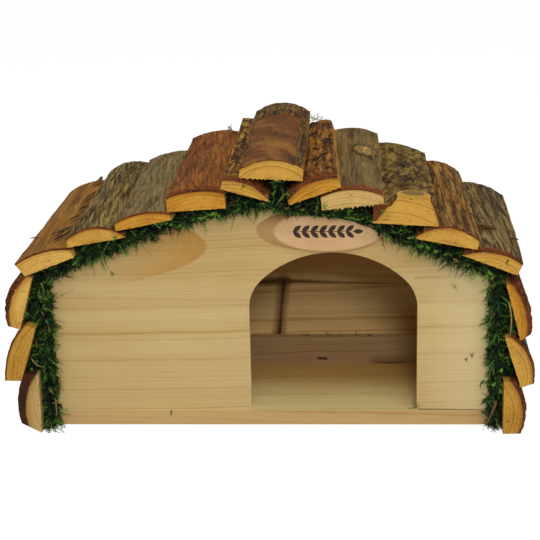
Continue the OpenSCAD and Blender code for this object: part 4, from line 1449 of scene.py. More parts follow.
@dataclass
class Cladding:
    """The seventeen slabs: three on each wall, five on each side of the roof, and the ridge slab.

    Args:
        slabs: the slabs, from the left foot over the ridge to the right foot.
        splinters: bark that stands loose on them.
    """

    slabs: list[Slab] = field(default_factory=lambda: [
        Slab("left_wall_slab_1", Course.WALL, SIDE_DARK, GREYED, 1, rind=9.0 * MM, bevel=1.5 * MM),
        Slab("left_wall_slab_2", Course.WALL, SIDE_DARK, DULL, 2, rind=1.8 * MM, bevel=1.2 * MM),
        Slab("left_wall_slab_3", Course.WALL, SIDE_DARK, STRAW, 3, rind=5.8 * MM, bevel=2.0 * MM),
        Slab("left_roof_slab_1", Course.ROOF, SMOOTH_TAN, STRAW, 4,
             rind=2.2 * MM, last_in=5 * MM, ragged=0.6 * MM),
        Slab("left_roof_slab_2", Course.ROOF, FIBROUS_GREY, FRESH, 5, bevel=3.0 * MM),
        Slab("left_roof_slab_3", Course.ROOF, SMOOTH_GREY, ORANGE, 6, thin=0.12, bevel=3.0 * MM),
        Slab("left_roof_slab_4", Course.ROOF, RED_FIBROUS, ORANGE, 7, rind=3.6 * MM, bevel=15.0 * MM),
        Slab("left_roof_slab_5", Course.ROOF, CRACKED_TAN, FRESH, 8, rind=4.5 * MM, bevel=13.0 * MM),
        PeeledSlab("ridge_slab", Course.RIDGE, PEELED, FRESH, 9,
                   rind=1.7 * MM, bevel=1.2 * MM, ragged=1.4 * MM),
        Slab("right_roof_slab_5", Course.ROOF, PITTED, ORANGE, 10,
             rind=5.0 * MM, last_in=8 * MM, bevel=20.0 * MM),
        Slab("right_roof_slab_4", Course.ROOF, KNOTTED_GREY, PALE, 11,
             rind=1.8 * MM, bevel=22.0 * MM, ragged=1.4 * MM,
             knots=(Knot(42 * MM, 158 * MM, 9 * MM, 20 * MM, 1.0 * MM),)),
        StubSlab("right_roof_slab_3", Course.ROOF, DEEP_CRACKED, FRESH, 12, bevel=1.5 * MM, columns=72),
        Slab("right_roof_slab_2", Course.ROOF, RIDGED_BROWN, FRESH, 13, bevel=3.0 * MM),
        Slab("right_roof_slab_1", Course.ROOF, LONG_GREY, FRESH, 14,
             rind=4.0 * MM, last_in=-7 * MM, bevel=11.0 * MM),
        Slab("right_wall_slab_3", Course.WALL, SIDE_DARK, ORANGE, 15, rind=6.5 * MM, bevel=2.0 * MM),
        Slab("right_wall_slab_2", Course.WALL, SIDE_DARK, FRESH, 16, rind=3.0 * MM, bevel=1.5 * MM),
        Slab("right_wall_slab_1", Course.WALL, SIDE_DARK, DULL, 17, rind=4.2 * MM, bevel=1.5 * MM),
    ])
    splinters: tuple[Splinter, ...] = (
        Splinter((-0.1900, -0.060, 0.1830), (-0.2030, -0.098, 0.1850), 2.2 * MM, FIBROUS_GREY),
        Splinter((-0.1850, -0.085, 0.1860), (-0.1970, -0.121, 0.1855), 1.6 * MM, SIDE_DARK),
        Splinter((-0.1860, -0.028, 0.1865), (-0.1950, -0.052, 0.1860), 1.8 * MM, FIBROUS_GREY),
        Splinter((-0.1860, 0.004, 0.1865), (-0.1908, -0.012, 0.1868), 1.3 * MM, SIDE_DARK),
        Splinter((-0.1860, 0.066, 0.1865), (-0.1925, 0.026, 0.1868), 2.0 * MM, FIBROUS_GREY),
        Splinter((-0.1950, 0.094, 0.1815), (-0.1885, 0.119, 0.1895), 3.2 * MM, SMOOTH_TAN),
        Splinter((-0.2200, -0.058, 0.1725), (-0.2275, -0.076, 0.1755), 1.6 * MM, SMOOTH_TAN),
        Splinter((0.1890, -0.085, 0.1875), (0.2125, -0.070, 0.1805), 2.6 * MM, RIDGED_BROWN,
                 lean=math.radians(55), fray=0.25),
        Splinter((0.2255, -0.066, 0.1705), (0.2318, -0.079, 0.1722), 1.5 * MM, SIDE_DARK),
    )

    def build(self, frame: dict[str, Any]) -> None:
        """Builds every slab and the splinters, with one material for each finish in use."""
        finishes = {f.name: f for slab in self.slabs for f in (slab.bark, slab.sawn)}
        materials = {name: finish.make() for name, finish in finishes.items()}
        for slab in self.slabs:
            slab.build(frame, materials)
        sheets = [splinter.sheet(number) for number, splinter in enumerate(self.splinters)]
        barks = [materials[splinter.bark.name] for splinter in self.splinters]
        make_piece("bark_splinters", *weld_sheets(sheets), barks, "bark_slab")


@dataclass
class Sprigs:
    """Feather moss: a curling stem with two rows of small leaves.

    Args:
        leaves: leaves on a frond.
        leaf: length of the longest leaf.
        stem: half the width of the stem.
        droop: how far the stems bend down, in parts of their length.
    """

    leaves: int = 14
    leaf: float = 2.4 * MM
    stem: float = 0.3 * MM
    droop: float = 0.2

    def grow(self, roots: Array, ways: Array, lengths: Array,
             rng: np.random.Generator) -> tuple[Array, Array]:
        """Grows one sprig from each root.

        A stem is root + length * (t * way + t^2 * bend). Leaves stand to the left and the right in turn, and
        are longest, by 0.35 + 0.65 sin(pi t), in the middle of the stem.

        Args:
            roots: where the sprigs start, as count by 3.
            ways: the directions that they start in.
            lengths: how long they are.
            rng: the random numbers.

        Returns:
            The triangles' corners, as count by triangles by 3 by 3, and the share t of each corner.
        """
        count = len(roots)
        side = unit(np.cross(ways, rng.normal(size=(count, 3))))
        other = np.cross(ways, side)
        bend = 0.45 * other * rng.normal(size=(count, 1)) + 0.25 * side * rng.normal(size=(count, 1))
        bend = bend - np.array([0, 0, self.droop])
        t = np.linspace(0.06, 0.97, self.leaves)
        sign = np.where(np.arange(self.leaves) % 2, 1.0, -1.0)[None, :, None]
        lift = rng.normal(0, 0.35, (count, self.leaves, 1))
        out = unit(sign * side[:, None] + lift * other[:, None])
        shape = (0.35 + 0.65 * np.sin(math.pi * t)) * rng.uniform(0.75, 1.25, (count, self.leaves))
        size = (self.leaf * shape * rng.uniform(0.7, 1.3, (count, 1)))[..., None]

        def stem_at(share: Array) -> Array:
            """Points along the stems."""
            share = share[None, :, None]
            bent = share * ways[:, None] + share ** 2 * bend[:, None]
            return roots[:, None] + lengths[:, None, None] * bent

        foot = stem_at(t)
        wide = 0.3 * size * unit(ways[:, None] + 0.3 * lift * other[:, None])
        tip = foot + size * unit(0.8 * out + 0.75 * ways[:, None] - [0, 0, 0.1])
        leaves = np.stack([foot - wide, foot + wide, tip], axis=2)
        knots = np.array([0.0, 0.5, 1.0])
        line = stem_at(knots)
        half = self.stem * side[:, None] * (1.1 - knots)[None, :, None]
        left, right = line - half, line + half
        stems = np.concatenate([
            np.stack([left[:, :-1], right[:, :-1], right[:, 1:]], axis=2),
            np.stack([left[:, :-1], right[:, 1:], left[:, 1:]], axis=2),
        ], axis=1)
        low, high = knots[:-1], knots[1:]
        stem_shares = [np.stack(three, axis=1).ravel() for three in ((low, low, high), (low, high, high))]
        shares = np.concatenate([np.repeat(t, 3), *stem_shares])
        return np.concatenate([leaves, stems], axis=1), shares.reshape(-1, 3)


@dataclass
class MossRun:
    """Moss packed along one stretch of a gable's edge: a lumpy heart, painted near black as shade, and sprigs
    in tufts all over it.

    Args:
        node: the solid that it stands for.
        seed: which moss.
        density: sprigs on each square metre of the solid.
        reach: usual length of a sprig.
        tuft: distance from one tuft to the next.
        comb: how far the sprigs lie along the run rather than every way.
        over: share of the sprigs that lie over the others, longer and brighter; their brightness is partly
            painted light.
        straw: share of the sprigs that are straw.
        recess: how far a run that reaches through the house draws back from both ends of its solid.
        proud: how far the sprigs stand out in front of the solid before they are pressed flat.
        lump: width of a lump of the heart.
        sprigs: the form of the sprigs.
        plate: middle and half sizes, as X and Z, of the oval plate that the front moss leaves free.
    """

    node: str
    seed: int
    density: float = 0.36e6
    reach: float = 8.5 * MM
    tuft: float = 13 * MM
    comb: float = 0.9
    over: float = 0.22
    straw: float = 0.025
    recess: float = 0.0
    proud: float = 3.5 * MM
    lump: float = 4 * MM
    sprigs: Sprigs = field(default_factory=Sprigs)
    plate: tuple[Point2, Point2] = ((0.050, 0.1905), (0.049, 0.0145))

    def heart(self, points: Array, triangles: Array) -> tuple[Array, Array]:
        """Makes the heart: the solid with each triangle cut in four twice, then drawn in and made lumpy.

        Args:
            points, triangles: the solid's mesh.

        Returns:
            The heart's points and triangles.
        """
        corners = points[triangles]
        for _ in range(2):
            a, b, c = corners[:, 0], corners[:, 1], corners[:, 2]
            ab, bc, ca = (a + b) / 2, (b + c) / 2, (c + a) / 2
            quarters = (a, ab, ca), (ab, b, bc), (ca, bc, c), (ab, bc, ca)
            corners = np.concatenate([np.stack(quarter, axis=1) for quarter in quarters])
        flat = corners.reshape(-1, 3)
        kept, places = merge(flat, TOUCH)
        spots, faces = flat[kept], places.reshape(-1, 3)
        normal = np.zeros_like(spots)
        a, b, c = [spots[faces[:, k]] for k in range(3)]
        face_normal = np.cross(b - a, c - a)
        for corner in range(3):
            np.add.at(normal, faces[:, corner], face_normal)
        x, y, z = spots.T
        lumps = noise((x + y) / self.lump, (z - y) / self.lump, self.seed)
        spots = spots + unit(normal) * (lumps * 1.2 * MM - 1.6 * MM)[:, None]
        half = np.abs(points[:, 1]).max()
        spots[:, 1] *= np.where(np.abs(points[:, 1]).min() > 0.9 * half, (half - self.recess) / half, 1)
        return spots, faces

    def front(self, points: Array) -> Array:
        """Gives the way out of the run's gable, or none for a run that draws back from both gables."""
        side = 0.0 if self.recess else math.copysign(1, points[:, 1].mean())
        return np.array([0.0, side, 0.0])

    def scatter(self, points: Array, triangles: Array, rng: np.random.Generator) -> tuple[Array, Array]:
        """Picks random spots, evenly over the solid's faces, and keeps those that can be seen.

        Args:
            points, triangles: the solid's mesh.
            rng: the random numbers.

        Returns:
            The spots, and the normals of their faces.
        """
        a, b, c = [points[triangles[:, k]] for k in range(3)]
        cross = np.cross(b - a, c - a)
        area = np.linalg.norm(cross, axis=1) / 2
        count = int(area.sum() * self.density)
        chosen = rng.choice(len(area), count, p=area / area.sum())
        p, q = rng.uniform(size=(2, count, 1))
        p, q = np.where(p + q > 1, 1 - p, p), np.where(p + q > 1, 1 - q, q)
        roots = a[chosen] + p * (b - a)[chosen] + q * (c - a)[chosen]
        normal = unit(cross)[chosen]
        if self.recess:
            seen = np.abs(normal[:, 1]) > 0.7
            roots[:, 1] -= np.sign(roots[:, 1]) * self.recess * rng.uniform(0.5, 1, count)
        else:
            seen = normal @ self.front(points) > -0.4
        return roots[seen], normal[seen]

    def blades(self, points: Array, triangles: Array, rng: np.random.Generator) -> tuple[Array, Array]:
        """Grows the sprigs. Their length and tint follow a noise over the run, so that they gather in tufts.

        Args:
            points, triangles: the solid's mesh.
            rng: the random numbers.

        Returns:
            The corners of their triangles, one after another, and the tint of each corner.
        """
        roots, normal = self.scatter(points, triangles, rng)
        count = len(roots)
        x, y, z = roots.T
        place = (x + 0.6 * y) / self.tuft, (z - 0.6 * y) / self.tuft
        tuft = np.clip(0.5 + 0.8 * fractal(*place, self.seed + 1, 2), 0, 1)
        flow = np.linalg.svd((points - points.mean(axis=0))[:, [0, 2]], full_matrices=False)[2][0]
        comb = self.comb * rng.normal(size=(count, 1)) * np.array([flow[0], 0.0, flow[1]])
        ways = unit(0.2 * normal + 0.38 * rng.normal(size=(count, 3)) + comb + 0.15 * self.front(points))
        over = rng.uniform(size=count) < self.over
        lengths = self.reach * (0.4 + 0.9 * tuft) * np.clip(rng.lognormal(0, 0.3, count), 0.5, 1.9)
        lengths = lengths * np.where(over, 1.2, 0.85)
        sunk = (3.5 - 3.0 * tuft) * MM * np.where(over, 0.4, 1.0)
        corners, shares = self.sprigs.grow(roots - sunk[:, None] * normal, ways, lengths, rng)
        (mid_x, mid_z), (half_x, half_z) = self.plate
        oval = ((corners[..., 0] - mid_x) / half_x) ** 2 + ((corners[..., 2] - mid_z) / half_z) ** 2
        free = ~((oval < 1) & (corners[..., 1] < 0)).any(axis=(1, 2))
        corners, tuft, over, count = corners[free], tuft[free], over[free], int(free.sum())
        # Sprigs on top get bright tones and those under them dim ones, partly the moss's own greens and
        # partly painted light and painted shade; each sprig lightens from its shaded root to its tip
        bright, dim = rng.uniform(0.3, 1.05, count), 0.3 * rng.beta(1.0, 2.0, count)
        tone = np.where(over, bright, dim) + 0.25 * tuft - 0.1
        tone = np.where(rng.uniform(size=count) < self.straw, 2.0, tone)
        tint = tone[:, None, None] + 0.25 * shares - 0.1
        return corners.reshape(-1, 3), tint.reshape(-1)

    def build(self, frame: dict[str, Any], material: bpy.types.Material) -> bpy.types.Object:
        """Builds the run: the heart, and the sprigs, which are pressed back where they stand out too far.

        Args:
            frame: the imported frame.
            material: the moss.

        Returns:
            The run.
        """
        points, triangles = node_mesh(self.node, frame)
        blades, tint = self.blades(points, triangles, np.random.default_rng(self.seed))
        far = np.maximum(np.abs(blades[:, 1]) - np.abs(points[:, 1]).max() - self.proud, 0)
        blades[:, 1] -= np.sign(blades[:, 1]) * 0.7 * far
        spots, faces = self.heart(points, triangles)
        every = np.concatenate([faces, np.arange(len(blades)).reshape(-1, 3) + len(spots)])
        # The heart's tint of 0 paints it near black: painted shade in the moss's depth
        marks = {"tint": np.concatenate([np.zeros(len(spots)), tint])}
        points = np.concatenate([spots, blades])
        points[:, 2] = np.maximum(points[:, 2], self.sprigs.stem)
        slots = np.zeros(len(every))
        return make_piece(f"{self.node}_sprigs", points, every, marks, slots, [material], "moss", self.node)


@dataclass
class MossPacking:
    """All the moss: along the sides and the roof in front and at the back, and under the ridge slab.

    Args:
        runs: the stretches of moss.
    """

    runs: list[MossRun] = field(default_factory=lambda: [
        MossRun(f"moss_{end}_{stretch}", seed) for seed, (end, stretch) in enumerate(
            [(end, stretch) for end in ("front", "back")
             for stretch in ("left_side", "left_roof", "right_roof", "right_side")], start=200)
    ] + [MossRun("moss_ridge", 220, reach=6 * MM, recess=9 * MM)])

    def build(self, frame: dict[str, Any]) -> bpy.types.Material:
        """Builds every run and returns the moss material."""
        material = MossFinish().make()
        for run in self.runs:
            run.build(frame, material)
        return material


@dataclass
class Carcass:
    """The boards: they keep their solids, and each is cut from a log of its own.

    Args:
        front, back: the gables.
        base: the floor board.
        bedding: the board across the floor.
        sides: the walls and the boards of the roof.
    """

    front: PineFinish = PineFinish(
        "pine_front", "#d9bf83", "#b4863d", Grain.ALONG_X, (-0.065, 0.20),
        flames=(Flame((0.195, 0.1765), 0.0062, 0.3, 0.45), Flame((-0.056, 0.1765), 0.016, 0.75, 0.12)),
        streaks=(Streak((-0.208, 0.1500), (-0.176, 0.1470), 0.9 * MM, 2.6 * MM, 0.7, taper=0.8),
                 Streak((-0.205, 0.1275), (-0.0197, 0.124), 0.6 * MM, 2.4 * MM, 0.25, "#a8763a", "#bb8c4c"),
                 Streak((0.1344, 0.1451), (0.185, 0.147), 0.5 * MM, 2.0 * MM, 0.3, "#a2783c", "#b48c4e"),
                 Streak((-0.0175, 0.010), (-0.0175, 0.112), 1.4 * MM, 2.6 * MM, 0.7, "#ead6a4", "#e3cb95"),
                 # Painted light: a broad pale band over the gable's right side, where more light falls
                 Streak((0.205, -0.02), (0.205, 0.165), 10 * MM, 75 * MM, 0.5, "#f2dfaa", "#f2dfaa",
                        fray=0.02),
                 # Painted shade: a thin dark line along the gable's foot at the right, in the narrow gap over
                 # the base board
                 Streak((0.139, 0.0153), (0.205, 0.0153), 0.35 * MM, 0.7 * MM, 0.9)))
    back: PineFinish = PineFinish(
        "pine_back", "#ffdd96", "#b47a34", Grain.ALONG_X, (0.080, 0.077), years=150.0, contrast=0.5,
        # Painted shade: a broad brown band round z = 0.112 darkens the back wall's upper part, which the arch
        # shades
        streaks=(Streak((-0.18, 0.112), (0.28, 0.112), 0.1 * MM, 58 * MM, 1.0, halo="#bb8038", fray=0.1),
                 Streak((0.006, 0.0775), (-0.18, 0.0730), 2.8 * MM, 7.5 * MM, 0.85, taper=0.9, fray=1.0),
                 Streak((0.000, 0.0775), (0.125, 0.0745), 1.3 * MM, 5 * MM, 0.8, taper=0.85, fray=1.2),
                 Streak((0.0000, 0.0780), (0.0085, 0.0776), 2.4 * MM, 6 * MM, 0.85),
                 Streak((0.0042, 0.0778), (-0.0048, -0.010), 4.2 * MM, 10 * MM, 0.75, "#4e3015", "#7a4c24"),
                 Streak((0.0050, 0.0778), (-0.0040, -0.010), 0.7 * MM, 1.5 * MM, 0.85, "#140a04", "#2a1608")))
    base: PineFinish = PineFinish("pine_base", "#d8b67a", "#ae8044", Grain.ALONG_X, (0.02, -0.09),
                                  # Painted light on the floor's top face: a pale pool at the front, where
                                  # light falls in at the doorway, darker further in
                                  painted_lit_top=("#ffeaa2", "#c9a056"))
    bedding: PineFinish = PineFinish(
        "pine_bedding", "#a3825a", "#745433", Grain.ALONG_X, (0.07, 0.06),
        streaks=(Streak((0.042, 0.0212), (0.050, 0.0205), 0.8 * MM, 1.6 * MM),
                 Streak((0.102, 0.0160), (0.130, 0.0165), 0.1 * MM, 11 * MM, 0.85, halo="#6e4226", fray=0.8)),
        # Painted light: the bedding board's top face is paler than its front, for the light that falls on it
        # from above
        painted_lit_top=("#c9a676", "#c9a676"), top=43 * MM)
    sides: PineFinish = PineFinish("pine_sides", "#d6b883", "#ad8450", Grain.ALONG_Y, (0.0, 0.02))

    def dress(self, frame: dict[str, Any]) -> None:
        """Gives every board its finish."""
        boards = {
            self.front: ["front_gable"],
            self.back: ["back_gable"],
            self.base: ["base_board"],
            self.bedding: ["bedding_board"],
            self.sides: ["left_wall", "right_wall", "left_lower_roof_board", "left_upper_roof_board",
                         "right_upper_roof_board", "right_lower_roof_board"],
        }
        for finish, nodes in boards.items():
            material = finish.make()
            for node in nodes:
                dress_node(frame, node, material)


def dress_node(frame: dict[str, Any], node: str, material: bpy.types.Material) -> None:
    """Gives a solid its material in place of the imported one."""
    mesh = frame["nodes"][node].data
    mesh.materials.clear()
    mesh.materials.append(material)
    log.info("%s: %s", node, material.name)


@dataclass
class NamePlate:
    """The oval slice of branch over the doorway, with a plain burnt sprig.

    Args:
        slant: angle of the branch to the face.
        leaf_long, leaf_wide: length and half the width of the sprig's leaves.
        leaf_turn: angle of the leaves to the stem, in degrees.
        stem_wide: half the width of the stem.
        pairs: pairs of leaves.
        gap: distance from one pair to the next.
        proud: how far the burnt wood stands over the plate.
    """

    slant: float = math.radians(22)
    leaf_long: float = 9.5 * MM
    leaf_wide: float = 2.2 * MM
    leaf_turn: float = 38.0
    stem_wide: float = 0.45 * MM
    pairs: int = 7
    gap: float = 8 * MM
    proud: float = 0.12 * MM

    def dress(self, frame: dict[str, Any]) -> None:
        """Gives the plate its finish and burns the sprig into it."""
        low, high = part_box("name_plate")
        points = node_mesh("name_plate", frame)[0]
        face = points[points[:, 1] < low.y + TOUCH]
        middle = (float(face[:, 0].min() + face[:, 0].max()) / 2, low.y, (low.z + high.z) / 2)
        dress_node(frame, "name_plate", PlateFinish(middle, self.slant).make())
        self.sprig(middle)

    def sprig(self, middle: Point3) -> bpy.types.Object:
        """Builds the sprig: a stem with a pair of leaves at each gap and one leaf at its end.

        Args:
            middle: the middle of the plate's face.

        Returns:
            The sprig.
        """
        starts = (np.arange(self.pairs) - self.pairs / 2) * self.gap - 0.4 * self.leaf_long
        pairs = np.stack([starts, starts * 0], axis=1)
        spots = np.concatenate([pairs, pairs, [[starts[-1] + self.gap * 0.8, 0]]])
        angles = np.radians([self.leaf_turn] * self.pairs + [-self.leaf_turn] * self.pairs + [0.0])
        ways = np.stack([np.cos(angles), np.sin(angles)], axis=1)
        size = self.leaf_long, self.leaf_wide
        sheets = [self.blade(middle, spot, way, *size) for spot, way in zip(spots, ways)]
        stem_long = (self.pairs + 0.6) * self.gap
        stem_start = np.array([starts[0] - self.gap * 0.8, 0])
        sheets.append(self.blade(middle, stem_start, np.array([1.0, 0.0]), stem_long, self.stem_wide))
        burnt = PlainFinish("burnt_wood", "#1c0f06", "#3a2110", 900.0, 0.8).make()
        return make_piece("plate_sprig", *weld_sheets(sheets), [burnt], "plate_wood")

    def blade(self, middle: Point3, start: Array, way: Array, long: float, wide: float) -> Sheet:
        """Builds a leaf or the stem as a closed lens: the grid's columns go over its face and back under it.

        Its points on the plate are start + long t way + wide sin(pi t)^0.9 cos(a) across, and they stand
        proud sin(pi t) sin(a) out of it.

        Args:
            middle: the middle of the plate's face.
            start: its foot, from the middle, as X and Z.
            way: its direction.
            long, wide: its length and half its width.

        Returns:
            The surface.
        """
        t, turn = tube_grid(12, 13)
        half = wide * np.sin(math.pi * t) ** 0.9
        across = np.array([-way[1], way[0]])
        flat = start + (long * t)[..., None] * way + (half * np.cos(turn))[..., None] * across
        rise = self.proud * np.sin(math.pi * t) * np.sin(turn)
        points = np.stack([middle[0] + flat[..., 0], middle[1] - rise, middle[2] + flat[..., 1]], axis=-1)
        return Sheet(points, {"tint": t})


@dataclass
class Nails:
    """The steel nails, which keep their solids.

    Args:
        nodes: the solids.
    """

    nodes: tuple[str, ...] = ("base_nails", "wall_nails", "roof_board_nails", "slab_nails")

    def dress(self, frame: dict[str, Any]) -> None:
        """Gives the nails their finish."""
        steel = PlainFinish("nail_steel", "#b9b6ae", "#8d8a84", 700.0, 0.42, 1.0).make()
        for node in self.nodes:
            dress_node(frame, node, steel)


@dataclass(frozen=True)
class Stem:
    """A dry stem or a twig caught in the moss.

    Args:
        name: the piece's name.
        path: the three points that it passes through.
        radius: at its thick end.
        seed: which noise makes it uneven.
    """

    name: str
    path: tuple[Point3, Point3, Point3]
    radius: float
    seed: int = 310

    def build(self, material: bpy.types.Material) -> bpy.types.Object:
        """Builds the stem as a tapering tube along the curve through its points.

        The curve is the parabola a(1 - t)(1 - 2t) + 4bt(1 - t) + ct(2t - 1), and the ends close to a point.

        Args:
            material: its finish.

        Returns:
            The stem.
        """
        t, turn = tube_grid(24, 9)
        a, b, c = [np.array(p) for p in self.path]
        s = t[..., None]
        line = a * (1 - s) * (1 - 2 * s) + 4 * b * s * (1 - s) + c * s * (2 * s - 1)
        way = unit(c - a)
        side = unit(np.cross(way, [0.0, 1.0, 0.0]))
        other = np.cross(way, side)
        radius = self.radius * (1 - 0.45 * t) * np.minimum(1, 12 * np.minimum(t, 1 - t))
        radius = radius * (1 + 0.2 * noise(t * 7, t * 0 + turn, self.seed))
        radius = np.where(turn > 2 * math.pi - TOUCH, radius[:, :1], radius)
        ring = np.cos(turn)[..., None] * side + np.sin(turn)[..., None] * other
        sheet = Sheet(line + radius[..., None] * ring, {"tint": t})
        return make_piece(self.name, *weld_sheets([sheet]), [material], "moss")


@dataclass
class Litter:
    """What the moss sheds: loose sprigs on the boards, dry stems and a twig.

    Args:
        crumbs: where loose sprigs lie, and how long they are.
        stems: pale dry stems.
        twig: a brown twig at the right foot.
        per_crumb: sprigs in each place.
        floor: height below which none hangs.
        seed: which random numbers.
    """

    crumbs: tuple[tuple[Point3, float], ...] = (
        # On the front gable and the base board's edge
        ((0.1715, -0.1108, 0.138), 5 * MM), ((0.196, -0.1108, 0.042), 5 * MM),
        ((0.1345, -0.1112, 0.0175), 6 * MM), ((0.187, -0.1106, 0.070), 2.5 * MM),
        ((0.183, -0.1106, 0.066), 2 * MM), ((0.160, -0.1106, 0.168), 3 * MM),
        # On the bedding board
        ((0.030, 0.020, 0.0434), 4 * MM), ((0.052, 0.018, 0.0434), 6 * MM),
        ((0.066, 0.019, 0.0434), 5 * MM), ((0.081, 0.021, 0.0434), 4 * MM),
        ((0.096, 0.018, 0.0434), 5 * MM),
        # On the front gable's left half
        ((-0.0952, -0.1106, 0.0112), 2.5 * MM), ((-0.105, -0.1106, 0.182), 4 * MM),
        ((-0.1446, -0.1106, 0.1513), 2.5 * MM),
        # Against the front ends of the slabs
        ((0.2143, -0.1352, 0.1664), 4 * MM), ((0.1091, -0.1352, 0.2077), 6 * MM),
        ((0.1032, -0.1352, 0.2162), 5 * MM), ((0.0159, -0.1352, 0.2315), 7 * MM),
        ((0.0543, -0.1352, 0.2158), 8 * MM), ((-0.0194, -0.1352, 0.2382), 3 * MM),
        ((-0.0856, -0.1352, 0.2076), 8 * MM), ((-0.0985, -0.1352, 0.2037), 5 * MM),
        ((-0.1386, -0.1352, 0.1931), 3 * MM),
        # Over the rear edge of the roof, and one to the right of it
        ((-0.0511, 0.128, 0.2355), 6 * MM), ((-0.0485, 0.129, 0.2350), 6 * MM),
        ((-0.0535, 0.128, 0.2345), 5 * MM), ((-0.0500, 0.129, 0.2370), 5 * MM),
        ((-0.0520, 0.129, 0.2375), 4 * MM), ((0.0385, 0.129, 0.2472), 5 * MM),
        # At the left foot
        ((-0.2035, -0.131, 0.005), 8 * MM), ((-0.1985, -0.131, 0.004), 8 * MM),
        ((-0.2085, -0.131, 0.005), 8 * MM), ((-0.1945, -0.130, 0.006), 7 * MM),
        ((-0.2010, -0.132, 0.009), 8 * MM), ((-0.2060, -0.132, 0.010), 8 * MM),
        # Over the rear edge of the roof, right of the middle
        ((0.036, 0.128, 0.2475), 6 * MM), ((0.041, 0.128, 0.2470), 6 * MM),
        ((0.044, 0.129, 0.2460), 5 * MM),
    )
    stems: tuple[Stem, ...] = (
        Stem("dry_stem_right", ((0.2175, -0.131, 0.130), (0.2205, -0.134, 0.114), (0.2195, -0.133, 0.094)),
             0.9 * MM),
        Stem("dry_stem_left", ((-0.2215, -0.133, 0.077), (-0.216, -0.135, 0.070), (-0.209, -0.132, 0.067)),
             0.6 * MM),
        Stem("dry_stem_low", ((-0.2015, -0.132, 0.036), (-0.2005, -0.134, 0.026), (-0.2020, -0.132, 0.017)),
             0.6 * MM),
    )
    twig: Stem = Stem("twig", ((0.2095, -0.130, 0.033), (0.205, -0.132, 0.020), (0.1995, -0.129, 0.006)),
                      1.6 * MM)
    per_crumb: int = 4
    floor: float = 0.5 * MM
    seed: int = 300

    def build(self, moss: bpy.types.Material) -> None:
        """Builds the crumbs, of the given moss, the stems and the twig."""
        rng = np.random.default_rng(self.seed)
        spots = np.repeat(np.array([spot for spot, _ in self.crumbs]), self.per_crumb, axis=0)
        lengths = np.repeat([long for _, long in self.crumbs], self.per_crumb)
        ways = unit(rng.normal(size=(len(spots), 3)) * [1, 0.12, 1])
        corners, shares = Sprigs(leaves=8, leaf=1.8 * MM, droop=0.0).grow(spots, ways, lengths, rng)
        tint = (rng.uniform(0.35, 0.95, len(spots))[:, None, None] + 0.2 * shares).reshape(-1)
        points = corners.reshape(-1, 3)
        points[:, 2] = np.maximum(points[:, 2], self.floor)
        faces = np.arange(len(points)).reshape(-1, 3)
        make_piece("moss_crumbs", points, faces, {"tint": tint}, np.zeros(len(faces)), [moss], "moss")
        straw = PlainFinish("dry_stem", "#a08a4e", "#6f5d30", 400.0).make()
        wood = PlainFinish("twig_wood", "#6b4a26", "#3f2a14", 500.0).make()
        for stem in self.stems:
            stem.build(straw)
        self.twig.build(wood)


@dataclass(frozen=True)
class Lamp:
    """A square lamp that points at the middle of the house.

    Args:
        name: its name.
        place: where it hangs.
        size: length of its sides.
        watts: its power.
        aim: the middle of the house.
    """

    name: str
    place: Point3
    size: float
    watts: float
    aim: Point3 = (0.0, 0.0, 0.12)

    def hang(self) -> None:
        """Hangs the lamp."""
        data = bpy.data.lights.new(self.name, "AREA")
        data.size = self.size
        data.energy = self.watts
        lamp = bpy.data.objects.new(self.name, data)
        away = Vector(self.place) - Vector(self.aim)
        turn = away.to_track_quat("Z", "Y").to_matrix().to_4x4()
        lamp.matrix_world = Matrix.Translation(self.place) @ turn
        bpy.context.scene.collection.objects.link(lamp)


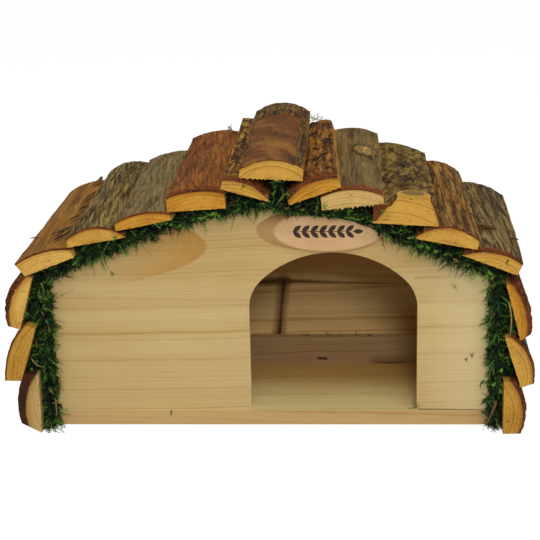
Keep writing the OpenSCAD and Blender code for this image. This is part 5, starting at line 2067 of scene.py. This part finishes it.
@dataclass
class Studio:
    """The floor, the light and the camera.

    Args:
        place: where the camera stands.
        yaw, pitch, roll: its turn to the left, its tilt down and its lean, in degrees.
        lens, sensor: its focal length and the width of its sensor, in millimetres.
        floor: half the width of the floor.
        white: the floor's colour.
        sky: strength of the light from all round.
        glow, glow_share: strength of the floor's own light, and its share in what the camera sees.
        lamps: the lamps.
    """

    place: Point3 = (0.07394, -1.42955, 0.55556)
    yaw: float = 3.152
    pitch: float = 16.923
    roll: float = -1.2
    lens: float = 100.0
    sensor: float = 36.0
    floor: float = 6.0
    white: tuple[float, float, float, float] = (0.92, 0.92, 0.92, 1)
    sky: float = 0.17
    glow: float = 1.16
    glow_share: float = 0.82
    lamps: tuple[Lamp, ...] = (
        Lamp("key", (0.3, -2.3, 1.2), 0.45, 15.0),
        Lamp("soft", (0.5, -1.5, 2.0), 1.8, 19.0),
        Lamp("fill", (-1.3, -1.9, 1.2), 0.8, 1.4),
        Lamp("top", (0.1, 0.1, 2.0), 1.2, 8.5),
    )

    def build(self) -> None:
        """Builds the studio."""
        bpy.context.scene.view_settings.view_transform = "Standard"
        self.make_camera()
        self.make_floor()
        self.make_sky()
        for lamp in self.lamps:
            lamp.hang()

    def make_camera(self) -> None:
        """Turns the camera left, then down, then about its own view."""
        data = bpy.data.cameras.new("camera")
        data.lens = self.lens
        data.sensor_width = self.sensor
        camera = bpy.data.objects.new("camera", data)
        turn = Matrix.Translation(self.place)
        for degrees, axis in ((self.yaw, "Z"), (LEVEL - self.pitch, "X"), (self.roll, "Z")):
            turn = turn @ Matrix.Rotation(math.radians(degrees), 4, axis)
        camera.matrix_world = turn
        bpy.context.scene.collection.objects.link(camera)
        bpy.context.scene.camera = camera

    def make_floor(self) -> None:
        """Lays a white floor that keeps a soft shadow."""
        mesh = bpy.data.meshes.new("floor")
        half = self.floor
        corners = [(-half, -half, 0), (half, -half, 0), (half, half, 0), (-half, half, 0)]
        mesh.from_pydata(corners, [], [(0, 1, 2, 3)])
        graph = Graph("floor_white")
        tree = graph.tree
        matt = graph.node("BsdfDiffuse")
        matt.inputs["Color"].default_value = self.white
        glow = graph.node("Emission")
        glow.inputs["Strength"].default_value = self.glow
        blend = graph.node("MixShader")
        end = graph.node("OutputMaterial")
        graph.feed(blend.inputs[0], Value(graph, self.seen_directly(tree)) * self.glow_share)
        tree.links.new(matt.outputs[0], blend.inputs[1])
        tree.links.new(glow.outputs[0], blend.inputs[2])
        tree.links.new(blend.outputs[0], end.inputs[0])
        mesh.materials.append(graph.material)
        floor = bpy.data.objects.new("floor", mesh)
        bpy.context.scene.collection.objects.link(floor)

    def make_sky(self) -> None:
        """Lights evenly from all round, with a white background."""
        world = bpy.data.worlds.new("studio")
        world.use_nodes = True
        tree = world.node_tree
        back = tree.nodes["Background"]
        back.inputs["Color"].default_value = (1, 1, 1, 1)
        level = tree.nodes.new("ShaderNodeMapRange")
        level.inputs["To Min"].default_value = self.sky
        level.inputs["To Max"].default_value = 1.0
        tree.links.new(self.seen_directly(tree), level.inputs["Value"])
        tree.links.new(level.outputs[0], back.inputs["Strength"])
        bpy.context.scene.world = world

    @staticmethod
    def seen_directly(tree: bpy.types.NodeTree) -> bpy.types.NodeSocket:
        """Gives 1 for what the camera sees, straight or in a reflection or through glass, and 0 for light."""
        path = tree.nodes.new("ShaderNodeLightPath")
        seen = path.outputs["Is Camera Ray"]
        for ray in ("Is Glossy Ray", "Is Transmission Ray"):
            either = tree.nodes.new("ShaderNodeMath")
            either.operation = "MAXIMUM"
            tree.links.new(seen, either.inputs[0])
            tree.links.new(path.outputs[ray], either.inputs[1])
            seen = either.outputs[0]
        return seen


def main() -> None:
    """Builds the house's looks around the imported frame."""
    logging.basicConfig(level=logging.INFO, format="%(name)s %(message)s")
    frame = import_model()
    Studio().build()
    Carcass().dress(frame)
    NamePlate().dress(frame)
    Nails().dress(frame)
    Cladding().build(frame)
    moss = MossPacking().build(frame)
    Litter().build(moss)


if __name__ == "__main__":
    main()
